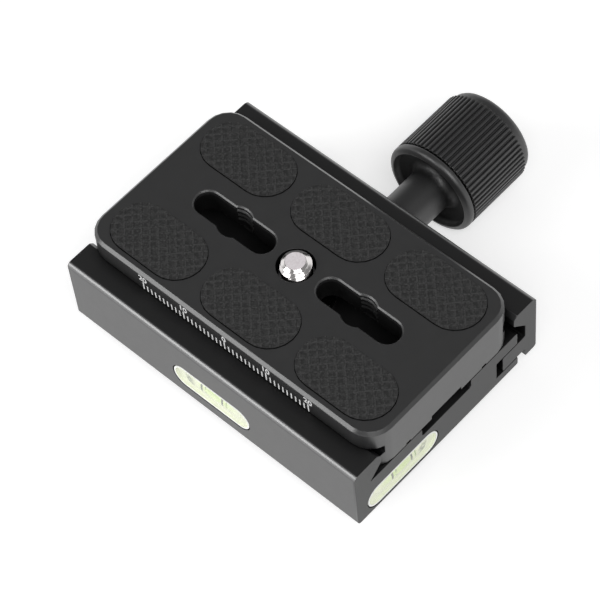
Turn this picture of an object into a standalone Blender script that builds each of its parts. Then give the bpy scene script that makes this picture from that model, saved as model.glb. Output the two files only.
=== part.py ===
"""Dovetail clamp with a screw knob and its slotted camera plate, modelled in the part's own frame.

X runs along the dovetail, Y from the fixed jaw at the front to the knob at the back, Z up. Sizes are in
millimetres and are turned into metres when a mesh is made. "Depth" is measured backwards from the front
face of the clamp and "height" upwards from the underside of its base.
"""
import math

import bmesh
import bpy
from mathutils import Vector

MM = 0.001

# Fits
SEAT_GAP = 0.3
RUNNING_GAP = 0.3

# Clamp base
CLAMP_LENGTH = 70.0
DECK_HEIGHT = 10.2
JAW_RISE = 5.8
BASE_EDGE_RADIUS = 0.8
JAW_TOP_RADIUS = 1.1
JAW_NOSE_CHAMFER = 0.9
JAW_NOSE_DEPTH = 6.8
CORNER_RADIUS = 0.5
CORNER_BEVEL_SEGMENTS = 3
SMALL_FILLET = 0.3
CHANNEL_FILLET = 0.5
CHANNEL_WIDTH = 13.3
CHANNEL_DEPTH = 2.2
GROOVE_FLOOR_HEIGHT = 2.1
GROOVE_OPENING = 4.8
DECK_BACK_GAP = 0.9
LOWER_LIP_GAP = 0.7

# Sliding jaw
JAW_OPENING = 1.4
JAW_CLOSED_GAP = 0.4
JAW_WALL = 3.1
JAW_LIP_REACH = 3.2
JAW_BACK_RADIUS = 1.5
JAW_FOOT_RADIUS = 0.8
TONGUE_LENGTH = 6.3
TONGUE_FILLET = 0.4

# Camera plate
PLATE_WIDTH = 38.2
PLATE_OVERHANG = 1.75
PLATE_SIDE_HEIGHT = 4.7
PLATE_FLANK_DROP = 3.3
PLATE_FLANGE_EDGE = 0.5
PLATE_CORNER_RADIUS = 5.0
PLATE_TOP_CHAMFER = 0.6
SLOT_LENGTH = 18.6
SLOT_WIDTH = 5.2
SLOT_WEB = 2.0
SLOT_EYE_DIAMETER = 6.7
SLOT_EDGE_CHAMFER = 0.3
COUNTERBORE_DEPTH = 4.0
POCKET_END_WALL = 4.0
KEYWAY_WIDTH = 8.0
KEYWAY_DEPTH = 0.9
RELIEF_WIDTH = 1.2
RELIEF_DEPTH = 0.4
RELIEF_OFFSET = 10.2

# Rubber pads
PAD_THICKNESS = 1.1
PAD_END_MARGIN = 2.45
PAD_SPACING = 2.7
PAD_SIDE_MARGIN = 1.8
PAD_ROW_CLEARANCE = 6.5
PAD_PROUD = 0.1
PAD_EDGE_CHAMFER = 0.2

# Camera screw and its retaining ring
THREAD_DIAMETER = 6.35
THREAD_TOP_DEPTH = 1.9
THREAD_TOP_CHAMFER = 0.3
SCREW_POINT_DIAMETER = 5.4
SCREW_POINT_CHAMFER = 0.9
SCREW_TIP_DIAMETER = 3.8
SCREW_SHANK_UNDERCUT = 0.375
SCREW_NECK_GROOVE = 0.5
SCREW_HOLE_PLAY = 0.5
SCREW_HEAD_DIAMETER = 14.0
SCREW_HEAD_THICKNESS = 2.2
SCREW_HEAD_CHAMFER = 0.4
SCREW_HEAD_PLAY = 0.5
SCREW_FLOAT = 2.2
SCREW_PROTRUSION = 1.8
COIN_SLOT_WIDTH = 1.6
COIN_SLOT_DEPTH = 1.1
RING_OVERLAP = 0.2
RING_PLAY = 0.2
RING_THICKNESS = 0.6
RING_OPENING_DEG = 70.0

# Clamp screw, washer and knob
CLAMP_SCREW_HEIGHT = 5.7
CLAMP_SCREW_DIAMETER = 5.0
CLAMP_SCREW_BORE_DEPTH = 6.4
CLAMP_SCREW_IN_KNOB = 12.0
CLAMP_SCREW_CHAMFER = 0.6
WASHER_DIAMETER = 9.0
WASHER_THICKNESS = 0.5
KNOB_DIAMETER = 20.0
KNOB_NECK_DIAMETER = 9.0
KNOB_NECK_LENGTH = 9.9
KNOB_NECK_CHAMFER = 0.3
KNOB_FLARE_LENGTH = 3.0
KNOB_DISH_LIFT = 0.2
KNOB_RIM_WIDTH = 1.3
KNOB_RIM_LIP = 1.2
KNOB_RIM_RADIUS = 0.8
KNOB_GROOVE_WIDTH = 0.5
KNOB_GROOVE_DEPTH = 0.7
KNOB_FLUTE_COUNT = 60
KNOB_FLUTE_DEPTH = 0.35
KNOB_FLUTE_PATTERN = ((-0.5, 0), (-0.27, 0), (-0.12, 1), (0.27, 1), (0.42, 0))
KNOB_DRUM_LENGTH = 14.5
KNOB_END_BAND = 0.9
KNOB_END_LIFT = 0.15
KNOB_END_RADIUS = 1.5

# Guide pins and return springs
PIN_OFFSET = 22.0
PIN_DIAMETER = 2.0
PIN_ROOT_LENGTH = 5.5
PIN_HOLE_WALL = 2.2
PIN_CHAMFER = 0.25
SPRING_POCKET_DEPTH = 6.3
SPRING_WIRE = 0.45
SPRING_TURNS = 6
SPRING_WIRE_SIDES = 6
SPRING_STEPS_PER_TURN = 14
SPRING_END_CLOSING = 0.5

# Bubble levels
VIAL_LENGTH = 18.6
VIAL_HEIGHT = 5.6
VIAL_DEPTH = 4.4
VIAL_GAP = 0.25
VIAL_INSET = 0.05
VIAL_BORE = 3.4
VIAL_BORE_WALL = 1.3
VIAL_PLUG_LENGTH = 1.5
VIAL_PLUG_INSET = 0.6
FRONT_LEVEL_HEIGHT = 6.2
SIDE_LEVEL_FOOT = 0.7
SIDE_LEVEL_DEPTH = 12.2

# Tripod bushing
BUSHING_DIAMETER = 9.5
BUSHING_BORE = 6.4
BUSHING_LENGTH = 7.0
BUSHING_SLOT_WIDTH = 1.4
BUSHING_SLOT_DEPTH = 1.2

# Facets, and how far a cutter passes the face that it opens
ARC_STEP_DEG = 18.0
PROFILE_STEP_DEG = 22.5
STADIUM_STEPS = 10
ROUND_SIDES = 32
BORE_SIDES = 24
SMALL_SIDES = 16
RING_STEPS = 20
DISH_STEPS = 8
RIM_STEPS = 3
END_STEPS = 4
CUTTER_PASS = 1.0
SAME_PLACE = 1e-4

# Places worked out from the sizes above
HALF_LENGTH = CLAMP_LENGTH / 2
JAW_HEIGHT = DECK_HEIGHT + JAW_RISE
PLATE_LENGTH = CLAMP_LENGTH
PLATE_BOTTOM_HEIGHT = DECK_HEIGHT + SEAT_GAP
PLATE_BODY_HEIGHT = JAW_HEIGHT + SEAT_GAP
PLATE_TOP_HEIGHT = PLATE_BODY_HEIGHT + PLATE_SIDE_HEIGHT
PLATE_FRONT_DEPTH = JAW_NOSE_DEPTH - PLATE_OVERHANG
PLATE_CENTRE_DEPTH = PLATE_FRONT_DEPTH + PLATE_WIDTH / 2
PLATE_NECK_WIDTH = PLATE_WIDTH - 2 * PLATE_FLANK_DROP
FLANK_CLEARANCE = RUNNING_GAP * math.sqrt(2)
FLANGE_TOP_HEIGHT = PLATE_BOTTOM_HEIGHT + PLATE_FLANGE_EDGE
FLANK_TOE_DEPTH = PLATE_FRONT_DEPTH - FLANK_CLEARANCE - (FLANGE_TOP_HEIGHT - DECK_HEIGHT)
JAW_TOE_DEPTH = 2 * PLATE_CENTRE_DEPTH - FLANK_TOE_DEPTH + JAW_OPENING
JAW_BACK_DEPTH = JAW_TOE_DEPTH + JAW_WALL
TONGUE_FRONT_DEPTH = JAW_TOE_DEPTH - TONGUE_LENGTH
GROOVE_FRONT_DEPTH = TONGUE_FRONT_DEPTH - JAW_OPENING - JAW_CLOSED_GAP
GROOVE_ROOF_HEIGHT = GROOVE_FLOOR_HEIGHT + GROOVE_OPENING
DECK_BACK_DEPTH = JAW_TOE_DEPTH - JAW_OPENING - DECK_BACK_GAP
LOWER_LIP_DEPTH = JAW_TOE_DEPTH - JAW_OPENING - LOWER_LIP_GAP
SCREW_SHANK_DIAMETER = THREAD_DIAMETER - 2 * SCREW_SHANK_UNDERCUT
SCREW_NECK_DIAMETER = SCREW_SHANK_DIAMETER - 2 * SCREW_NECK_GROOVE
SCREW_HOLE_DIAMETER = SCREW_SHANK_DIAMETER + 2 * SCREW_HOLE_PLAY
RING_OUTER_DIAMETER = SCREW_HOLE_DIAMETER + 2 * RING_OVERLAP
COUNTERBORE_DIAMETER = RING_OUTER_DIAMETER + 2 * RING_PLAY
SLOT_OFFSET = COUNTERBORE_DIAMETER / 2 + SLOT_WEB + SLOT_LENGTH / 2
POCKET_LENGTH = PLATE_LENGTH - 2 * POCKET_END_WALL
POCKET_WIDTH = SCREW_HEAD_DIAMETER + 2 * SCREW_HEAD_PLAY
POCKET_DEPTH = SEAT_GAP + SCREW_HEAD_THICKNESS + SCREW_FLOAT + SEAT_GAP
PAD_LENGTH = (PLATE_LENGTH - 2 * PAD_END_MARGIN - 2 * PAD_SPACING) / 3
PAD_WIDTH = PLATE_WIDTH / 2 - PAD_SIDE_MARGIN - PAD_ROW_CLEARANCE
PAD_PITCH = PAD_LENGTH + PAD_SPACING
PAD_ROW_OFFSET = PAD_ROW_CLEARANCE + PAD_WIDTH / 2
PIN_HEIGHT = (GROOVE_FLOOR_HEIGHT + GROOVE_ROOF_HEIGHT) / 2
PIN_HOLE_END_DEPTH = JAW_BACK_DEPTH - PIN_HOLE_WALL
SPRING_DIAMETER = PIN_DIAMETER + 2 * SEAT_GAP + 2 * SPRING_WIRE
SPRING_POCKET_DIAMETER = SPRING_DIAMETER + 2 * SEAT_GAP
SIDE_LEVEL_HEIGHT = VIAL_HEIGHT / 2 + SIDE_LEVEL_FOOT
POCKET_ROOF_HEIGHT = PLATE_BOTTOM_HEIGHT + POCKET_DEPTH
COUNTERBORE_FLOOR_HEIGHT = PLATE_TOP_HEIGHT - COUNTERBORE_DEPTH
WASHER_FRONT_DEPTH = JAW_BACK_DEPTH + SEAT_GAP
KNOB_FRONT_DEPTH = WASHER_FRONT_DEPTH + WASHER_THICKNESS + SEAT_GAP
KNOB_DISH_DEPTH = KNOB_FRONT_DEPTH + KNOB_NECK_LENGTH
KNOB_DRUM_FRONT = KNOB_DISH_DEPTH + KNOB_RIM_WIDTH + KNOB_GROOVE_WIDTH
KNOB_DRUM_BACK = KNOB_DRUM_FRONT + KNOB_DRUM_LENGTH
KNOB_BACK_DEPTH = KNOB_DRUM_BACK + KNOB_END_BAND + KNOB_END_RADIUS
CLAMP_SCREW_TIP_DEPTH = GROOVE_FRONT_DEPTH - CLAMP_SCREW_BORE_DEPTH + JAW_OPENING + JAW_CLOSED_GAP
FRONT_Y = -KNOB_BACK_DEPTH / 2
BASE_Z = max(KNOB_DIAMETER / 2 - CLAMP_SCREW_HEIGHT, 0.0)
CENTRE_Y = FRONT_Y + PLATE_CENTRE_DEPTH
SCREW_AXIS = Vector((0.0, 0.0, BASE_Z + CLAMP_SCREW_HEIGHT))


def depth(value):
    """World Y of a depth behind the clamp's front face."""
    return FRONT_Y + value


def height(value):
    """World Z of a height above the underside of the base."""
    return BASE_Z + value


def clear_scene():
    for old in list(bpy.data.objects):
        bpy.data.objects.remove(old, do_unlink=True)


def finish_material(name, colour, roughness, metallic):
    """A Principled material with one colour."""
    made = bpy.data.materials.new(name)
    made.use_nodes = True
    shader = made.node_tree.nodes["Principled BSDF"]
    shader.inputs["Base Color"].default_value = (*colour, 1.0)
    shader.inputs["Roughness"].default_value = roughness
    shader.inputs["Metallic"].default_value = metallic
    return made


def add_object(name, bm, material=None, origin=(0.0, 0.0, 0.0)):
    """Turns a mesh in millimetres into an object in metres whose origin is at the given point."""
    bmesh.ops.recalc_face_normals(bm, faces=bm.faces)
    bmesh.ops.translate(bm, verts=bm.verts, vec=-Vector(origin))
    bmesh.ops.scale(bm, verts=bm.verts, vec=(MM, MM, MM))
    mesh = bpy.data.meshes.new(name)
    bm.to_mesh(mesh)
    bm.free()
    made = bpy.data.objects.new(name, mesh)
    made.location = Vector(origin) * MM
    bpy.context.scene.collection.objects.link(made)
    if material is not None:
        mesh.materials.append(material)
    return made


def cut(target, bm, name, operation="DIFFERENCE"):
    """Cuts a mesh out of an object, or keeps what both share, with a Boolean on a hidden cutter."""
    cutter = add_object(name, bm)
    cutter.hide_render = True
    cutter.display_type = "WIRE"
    step = target.modifiers.new(name, "BOOLEAN")
    step.operation = operation
    step.solver = "EXACT"
    step.object = cutter


def shade_round(made, angle_deg=35.0):
    made.data.shade_smooth()
    made.data.set_sharp_from_angle(angle=math.radians(angle_deg))


def rounded_outline(corners, step_deg=ARC_STEP_DEG):
    """Points of a closed outline whose corners (a, b, radius) are rounded by tangent arcs."""
    points = []
    count = len(corners)
    for index, (a, b, radius) in enumerate(corners):
        corner = Vector((a, b))
        if radius <= 0:
            points.append(corner)
            continue
        to_last = (Vector(corners[index - 1][:2]) - corner).normalized()
        to_next = (Vector(corners[(index + 1) % count][:2]) - corner).normalized()
        half_angle = to_last.angle(to_next) / 2
        reach = radius / math.tan(half_angle)
        centre = corner + (to_last + to_next).normalized() * (radius / math.sin(half_angle))
        first = corner + to_last * reach - centre
        last = corner + to_next * reach - centre
        turn = first.angle_signed(last)
        steps = max(2, math.ceil(round(abs(math.degrees(turn)) / step_deg, 3)))
        start = math.atan2(first.y, first.x)
        for step in range(steps + 1):
            angle = start - turn * step / steps
            points.append(centre + Vector((math.cos(angle), math.sin(angle))) * radius)
    return points


def rectangle_outline(a, b, length, width, radius):
    """A rectangle with equal round corners."""
    sides = (a - length / 2, a + length / 2)
    ends = (b - width / 2, b + width / 2)
    corners = [(sides[0], ends[0]), (sides[1], ends[0]), (sides[1], ends[1]), (sides[0], ends[1])]
    return rounded_outline([(*corner, radius) for corner in corners])


def stadium_outline(a, b, length, width):
    """A slot shape along the first coordinate, with half-round ends."""
    radius = width / 2
    points = []
    for centre, start in ((a + length / 2 - radius, -90.0), (a - length / 2 + radius, 90.0)):
        for step in range(STADIUM_STEPS + 1):
            angle = math.radians(start + 180.0 * step / STADIUM_STEPS)
            points.append(Vector((centre + radius * math.cos(angle), b + radius * math.sin(angle))))
    return points


def circle_outline(a, b, diameter, sides=BORE_SIDES):
    turns = [2 * math.pi * index / sides for index in range(sides)]
    return [Vector((a + diameter / 2 * math.cos(turn), b + diameter / 2 * math.sin(turn))) for turn in turns]


def on_axis(axis, a, b, along):
    """Puts a flat point and a distance along an axis into space."""
    if axis == "X":
        return Vector((along, a, b))
    if axis == "Y":
        return Vector((a, along, b))
    return Vector((a, b, along))


def prism(outline, axis, low, high, bm=None):
    """A solid with the same outline all along an axis."""
    bm = bm or bmesh.new()
    ends = [[bm.verts.new(on_axis(axis, *point, along)) for point in outline] for along in (low, high)]
    count = len(outline)
    bm.faces.new(ends[0])
    bm.faces.new(list(reversed(ends[1])))
    for index in range(count):
        following = (index + 1) % count
        bm.faces.new((ends[0][index], ends[1][index], ends[1][following], ends[0][following]))
    return bm


def tapered_prism(outlines, axis, levels, bm=None):
    """A solid through outlines with equal counts of points, each at its own level."""
    bm = bm or bmesh.new()
    rings = [
        [bm.verts.new(on_axis(axis, *point, level)) for point in outline]
        for outline, level in zip(outlines, levels)
    ]
    bm.faces.new(rings[0])
    bm.faces.new(list(reversed(rings[-1])))
    for lower, upper in zip(rings, rings[1:]):
        for index in range(len(lower)):
            following = (index + 1) % len(lower)
            bm.faces.new((lower[index], upper[index], upper[following], lower[following]))
    return bm


def turned(profile, axis, centre, sides=ROUND_SIDES, bm=None):
    """A solid of revolution. The profile (radius, along) starts and ends on the axis."""
    bm = bm or bmesh.new()
    rings = []
    for radius, along in profile:
        if radius == 0:
            rings.append([bm.verts.new(on_axis(axis, *centre, along))])
            continue
        outline = circle_outline(*centre, 2 * radius, sides)
        rings.append([bm.verts.new(on_axis(axis, *point, along)) for point in outline])
    for lower, upper in zip(rings, rings[1:]):
        for index in range(sides):
            following = (index + 1) % sides
            ring_face = [lower[index % len(lower)], upper[index % len(upper)]]
            if len(upper) > 1:
                ring_face.append(upper[following])
            if len(lower) > 1:
                ring_face.append(lower[following])
            bm.faces.new(ring_face)
    return bm


def rod(diameter, axis, centre, low, high, sides=BORE_SIDES, bm=None):
    return prism(circle_outline(*centre, diameter, sides), axis, low, high, bm)


def bevel_upright_edges(bm, at_y, radius):
    """Rounds the two upright corner edges of a prism along X that lie in the plane y = at_y."""
    corner_edges = [
        edge
        for edge in bm.edges
        if all(abs(vert.co.y - at_y) < SAME_PLACE for vert in edge.verts)
        and abs(edge.verts[0].co.x - edge.verts[1].co.x) < SAME_PLACE
    ]
    bmesh.ops.bevel(
        bm, geom=corner_edges, offset=radius, segments=CORNER_BEVEL_SEGMENTS, profile=0.5, affect="EDGES"
    )


def base_outline():
    """End view of the extruded base: fixed jaw, deck with its channel, and the tongue groove."""
    channel_front = PLATE_CENTRE_DEPTH - CHANNEL_WIDTH / 2
    channel_back = PLATE_CENTRE_DEPTH + CHANNEL_WIDTH / 2
    nose_height = DECK_HEIGHT + JAW_NOSE_DEPTH - FLANK_TOE_DEPTH
    corners = [
        (0.0, 0.0, BASE_EDGE_RADIUS),
        (LOWER_LIP_DEPTH, 0.0, SMALL_FILLET),
        (LOWER_LIP_DEPTH, GROOVE_FLOOR_HEIGHT, SMALL_FILLET),
        (GROOVE_FRONT_DEPTH, GROOVE_FLOOR_HEIGHT, 0.0),
        (GROOVE_FRONT_DEPTH, GROOVE_ROOF_HEIGHT, 0.0),
        (DECK_BACK_DEPTH, GROOVE_ROOF_HEIGHT, 0.0),
        (DECK_BACK_DEPTH, DECK_HEIGHT, SMALL_FILLET),
        (channel_back, DECK_HEIGHT, SMALL_FILLET),
        (channel_back, DECK_HEIGHT - CHANNEL_DEPTH, CHANNEL_FILLET),
        (channel_front, DECK_HEIGHT - CHANNEL_DEPTH, CHANNEL_FILLET),
        (channel_front, DECK_HEIGHT, SMALL_FILLET),
        (FLANK_TOE_DEPTH, DECK_HEIGHT, 0.0),
        (JAW_NOSE_DEPTH, nose_height, SMALL_FILLET),
        (JAW_NOSE_DEPTH, JAW_HEIGHT - JAW_NOSE_CHAMFER, SMALL_FILLET),
        (JAW_NOSE_DEPTH - JAW_NOSE_CHAMFER, JAW_HEIGHT, SMALL_FILLET),
        (0.0, JAW_HEIGHT, JAW_TOP_RADIUS),
    ]
    placed = [(depth(a), height(b), radius) for a, b, radius in corners]
    return rounded_outline(placed, PROFILE_STEP_DEG)


def level_places():
    """Centre of each level's window in its own face, its axis, and the faces it lies between."""
    front = {
        "axis": "Y",
        "centre": (0.0, height(FRONT_LEVEL_HEIGHT)),
        "outer": depth(0.0),
        "inward": 1.0,
        "length_axis": "X",
    }
    side = {
        "axis": "X",
        "centre": (depth(SIDE_LEVEL_DEPTH), height(SIDE_LEVEL_HEIGHT)),
        "outer": HALF_LENGTH,
        "inward": -1.0,
        "length_axis": "Y",
    }
    return {"front_level": front, "side_level": side}


def make_clamp_base(material):
    bm = prism(base_outline(), "X", -HALF_LENGTH, HALF_LENGTH)
    bevel_upright_edges(bm, depth(0.0), CORNER_RADIUS)
    base = add_object("clamp_base", bm, material)

    pockets = bmesh.new()
    for place in level_places().values():
        shape = stadium_outline(*place["centre"], VIAL_LENGTH + 2 * VIAL_GAP, VIAL_HEIGHT + 2 * VIAL_GAP)
        floor = place["outer"] + place["inward"] * (VIAL_INSET + VIAL_DEPTH + VIAL_GAP)
        mouth = place["outer"] - place["inward"] * CUTTER_PASS
        prism(shape, place["axis"], min(floor, mouth), max(floor, mouth), pockets)
    cut(base, pockets, "cut_level_pockets")

    bushing_hole = rod(
        BUSHING_DIAMETER + 2 * SEAT_GAP,
        "Z",
        (0.0, CENTRE_Y),
        height(-CUTTER_PASS),
        height(DECK_HEIGHT),
        ROUND_SIDES,
    )
    cut(base, bushing_hole, "cut_bushing_hole")

    screw_bore = rod(
        CLAMP_SCREW_DIAMETER + 2 * RUNNING_GAP,
        "Y",
        (0.0, height(CLAMP_SCREW_HEIGHT)),
        depth(GROOVE_FRONT_DEPTH - CLAMP_SCREW_BORE_DEPTH),
        depth(DECK_BACK_DEPTH + CUTTER_PASS),
    )
    cut(base, screw_bore, "cut_screw_bore")

    pin_bores = bmesh.new()
    pocket_floor = GROOVE_FRONT_DEPTH - SPRING_POCKET_DEPTH
    for side in (-1, 1):
        centre = (side * PIN_OFFSET, height(PIN_HEIGHT))
        profile = [
            (0.0, depth(pocket_floor - PIN_ROOT_LENGTH)),
            (PIN_DIAMETER / 2 + SEAT_GAP, depth(pocket_floor - PIN_ROOT_LENGTH)),
            (PIN_DIAMETER / 2 + SEAT_GAP, depth(pocket_floor)),
            (SPRING_POCKET_DIAMETER / 2, depth(pocket_floor)),
            (SPRING_POCKET_DIAMETER / 2, depth(GROOVE_FRONT_DEPTH + CUTTER_PASS)),
            (0.0, depth(GROOVE_FRONT_DEPTH + CUTTER_PASS)),
        ]
        turned(profile, "Y", centre, BORE_SIDES, pin_bores)
    cut(base, pin_bores, "cut_pin_bores")


def jaw_outline():
    """End view of the sliding jaw: tongue, back wall, foot and the lip over the dovetail."""
    tongue_low = GROOVE_FLOOR_HEIGHT + RUNNING_GAP
    tongue_top = GROOVE_ROOF_HEIGHT - RUNNING_GAP
    nose_depth = JAW_TOE_DEPTH - JAW_LIP_REACH
    nose_height = DECK_HEIGHT + JAW_LIP_REACH
    corners = [
        (TONGUE_FRONT_DEPTH, tongue_low, SMALL_FILLET),
        (JAW_TOE_DEPTH, tongue_low, TONGUE_FILLET),
        (JAW_TOE_DEPTH, 0.0, TONGUE_FILLET),
        (JAW_BACK_DEPTH, 0.0, JAW_FOOT_RADIUS),
        (JAW_BACK_DEPTH, JAW_HEIGHT, JAW_BACK_RADIUS),
        (nose_depth + JAW_NOSE_CHAMFER, JAW_HEIGHT, SMALL_FILLET),
        (nose_depth, JAW_HEIGHT - JAW_NOSE_CHAMFER, SMALL_FILLET),
        (nose_depth, nose_height, SMALL_FILLET),
        (JAW_TOE_DEPTH, DECK_HEIGHT, SMALL_FILLET),
        (JAW_TOE_DEPTH, tongue_top, SMALL_FILLET),
        (TONGUE_FRONT_DEPTH, tongue_top, SMALL_FILLET),
    ]
    placed = [(depth(a), height(b), radius) for a, b, radius in corners]
    return rounded_outline(placed, PROFILE_STEP_DEG)


def make_sliding_jaw(material):
    bm = prism(jaw_outline(), "X", -HALF_LENGTH, HALF_LENGTH)
    bevel_upright_edges(bm, depth(JAW_BACK_DEPTH), CORNER_RADIUS)
    jaw = add_object("sliding_jaw", bm, material, SCREW_AXIS)

    screw_hole = rod(
        CLAMP_SCREW_DIAMETER + 2 * RUNNING_GAP,
        "Y",
        (0.0, height(CLAMP_SCREW_HEIGHT)),
        depth(TONGUE_FRONT_DEPTH - CUTTER_PASS),
        depth(JAW_BACK_DEPTH + CUTTER_PASS),
    )
    cut(jaw, screw_hole, "cut_jaw_screw_hole")

    pin_holes = bmesh.new()
    for side in (-1, 1):
        rod(
            PIN_DIAMETER + 2 * RUNNING_GAP,
            "Y",
            (side * PIN_OFFSET, height(PIN_HEIGHT)),
            depth(TONGUE_FRONT_DEPTH - CUTTER_PASS),
            depth(PIN_HOLE_END_DEPTH),
            BORE_SIDES,
            pin_holes,
        )
    cut(jaw, pin_holes, "cut_jaw_pin_holes")


def make_guide_pins(material):
    low = GROOVE_FRONT_DEPTH - SPRING_POCKET_DEPTH - PIN_ROOT_LENGTH + SEAT_GAP
    high = PIN_HOLE_END_DEPTH - SEAT_GAP - JAW_OPENING - JAW_CLOSED_GAP
    radius = PIN_DIAMETER / 2
    for side, word in ((-1, "left"), (1, "right")):
        profile = [
            (0.0, depth(low)),
            (radius - PIN_CHAMFER, depth(low)),
            (radius, depth(low + PIN_CHAMFER)),
            (radius, depth(high - PIN_CHAMFER)),
            (radius - PIN_CHAMFER, depth(high)),
            (0.0, depth(high)),
        ]
        centre = (side * PIN_OFFSET, height(PIN_HEIGHT))
        pin = add_object("guide_pin_" + word, turned(profile, "Y", centre, SMALL_SIDES), material)
        shade_round(pin)


def make_return_springs(material):
    """Each spring is a round wire swept along a helix whose end turns lie closer together."""
    low = GROOVE_FRONT_DEPTH - SPRING_POCKET_DEPTH + SEAT_GAP + SPRING_WIRE / 2
    high = TONGUE_FRONT_DEPTH - SEAT_GAP - SPRING_WIRE / 2
    coil_radius = (SPRING_DIAMETER - SPRING_WIRE) / 2
    steps = SPRING_TURNS * SPRING_STEPS_PER_TURN
    for side, word in ((-1, "left"), (1, "right")):
        bm = bmesh.new()
        rings = []
        for step in range(steps + 1):
            share = step / steps
            eased = share - SPRING_END_CLOSING * math.sin(2 * math.pi * share) / (2 * math.pi)
            along = low + (high - low) * eased
            turn = 2 * math.pi * SPRING_TURNS * share
            outward = Vector((math.cos(turn), 0.0, math.sin(turn)))
            centre = Vector((side * PIN_OFFSET, depth(along), height(PIN_HEIGHT))) + outward * coil_radius
            ring = []
            for corner in range(SPRING_WIRE_SIDES):
                angle = 2 * math.pi * corner / SPRING_WIRE_SIDES
                offset = outward * math.cos(angle) + Vector((0.0, 1.0, 0.0)) * math.sin(angle)
                ring.append(bm.verts.new(centre + offset * (SPRING_WIRE / 2)))
            rings.append(ring)
        for lower, upper in zip(rings, rings[1:]):
            for corner in range(SPRING_WIRE_SIDES):
                following = (corner + 1) % SPRING_WIRE_SIDES
                bm.faces.new((lower[corner], upper[corner], upper[following], lower[following]))
        bm.faces.new(rings[0])
        bm.faces.new(list(reversed(rings[-1])))
        spring = add_object("return_spring_" + word, bm, material)
        shade_round(spring)


def make_clamp_screw(material):
    radius = CLAMP_SCREW_DIAMETER / 2
    tip = CLAMP_SCREW_TIP_DEPTH
    end = KNOB_DISH_DEPTH + CLAMP_SCREW_IN_KNOB
    profile = [
        (0.0, depth(tip)),
        (radius - CLAMP_SCREW_CHAMFER, depth(tip)),
        (radius, depth(tip + CLAMP_SCREW_CHAMFER)),
        (radius, depth(end)),
        (0.0, depth(end)),
    ]
    bm = turned(profile, "Y", (0.0, height(CLAMP_SCREW_HEIGHT)), BORE_SIDES)
    screw = add_object("clamp_screw", bm, material, SCREW_AXIS)
    shade_round(screw)


def make_thrust_washer(material):
    low = depth(WASHER_FRONT_DEPTH)
    high = depth(WASHER_FRONT_DEPTH + WASHER_THICKNESS)
    centre = (0.0, height(CLAMP_SCREW_HEIGHT))
    bm = rod(WASHER_DIAMETER, "Y", centre, low, high, ROUND_SIDES)
    washer = add_object("thrust_washer", bm, material, SCREW_AXIS)
    hole = rod(CLAMP_SCREW_DIAMETER + 2 * RUNNING_GAP, "Y", centre, low - CUTTER_PASS, high + CUTTER_PASS)
    cut(washer, hole, "cut_washer_hole")


def arc_profile(centre, radius, start_deg, end_deg, steps):
    """Points (radius, along) on an arc. Zero degrees points away from the axis, ninety backwards."""
    made = []
    for step in range(steps + 1):
        angle = math.radians(start_deg + (end_deg - start_deg) * step / steps)
        made.append((centre[0] + radius * math.cos(angle), centre[1] + radius * math.sin(angle)))
    return made


def fluted_ring(bm, along, sides_centre):
    """One ring round the drum, with a flat crest and a flat root for each flute."""
    root = KNOB_DIAMETER / 2 - KNOB_FLUTE_DEPTH
    pitch = 2 * math.pi / KNOB_FLUTE_COUNT
    ring = []
    for flute in range(KNOB_FLUTE_COUNT):
        sector = []
        for share, raised in KNOB_FLUTE_PATTERN:
            radius = root + raised * KNOB_FLUTE_DEPTH
            angle = pitch * (flute + 0.5 + share)
            a = sides_centre[0] + radius * math.cos(angle)
            b = sides_centre[1] + radius * math.sin(angle)
            sector.append(bm.verts.new(on_axis("Y", a, b, along)))
        ring.append(sector)
    return ring


def join_flutes(bm, smooth_ring, sectors):
    """Closes the step between a plain ring and the fluted ring beside it, one face for each flute."""
    for index, sector in enumerate(sectors):
        following = (index + 1) % len(sectors)
        outer = sector + [sectors[following][0]]
        bm.faces.new([smooth_ring[index], *outer, smooth_ring[following]])


def ring_faces(bm, lower, upper):
    for index in range(len(lower)):
        following = (index + 1) % len(lower)
        bm.faces.new((lower[index], upper[index], upper[following], lower[following]))


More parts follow.
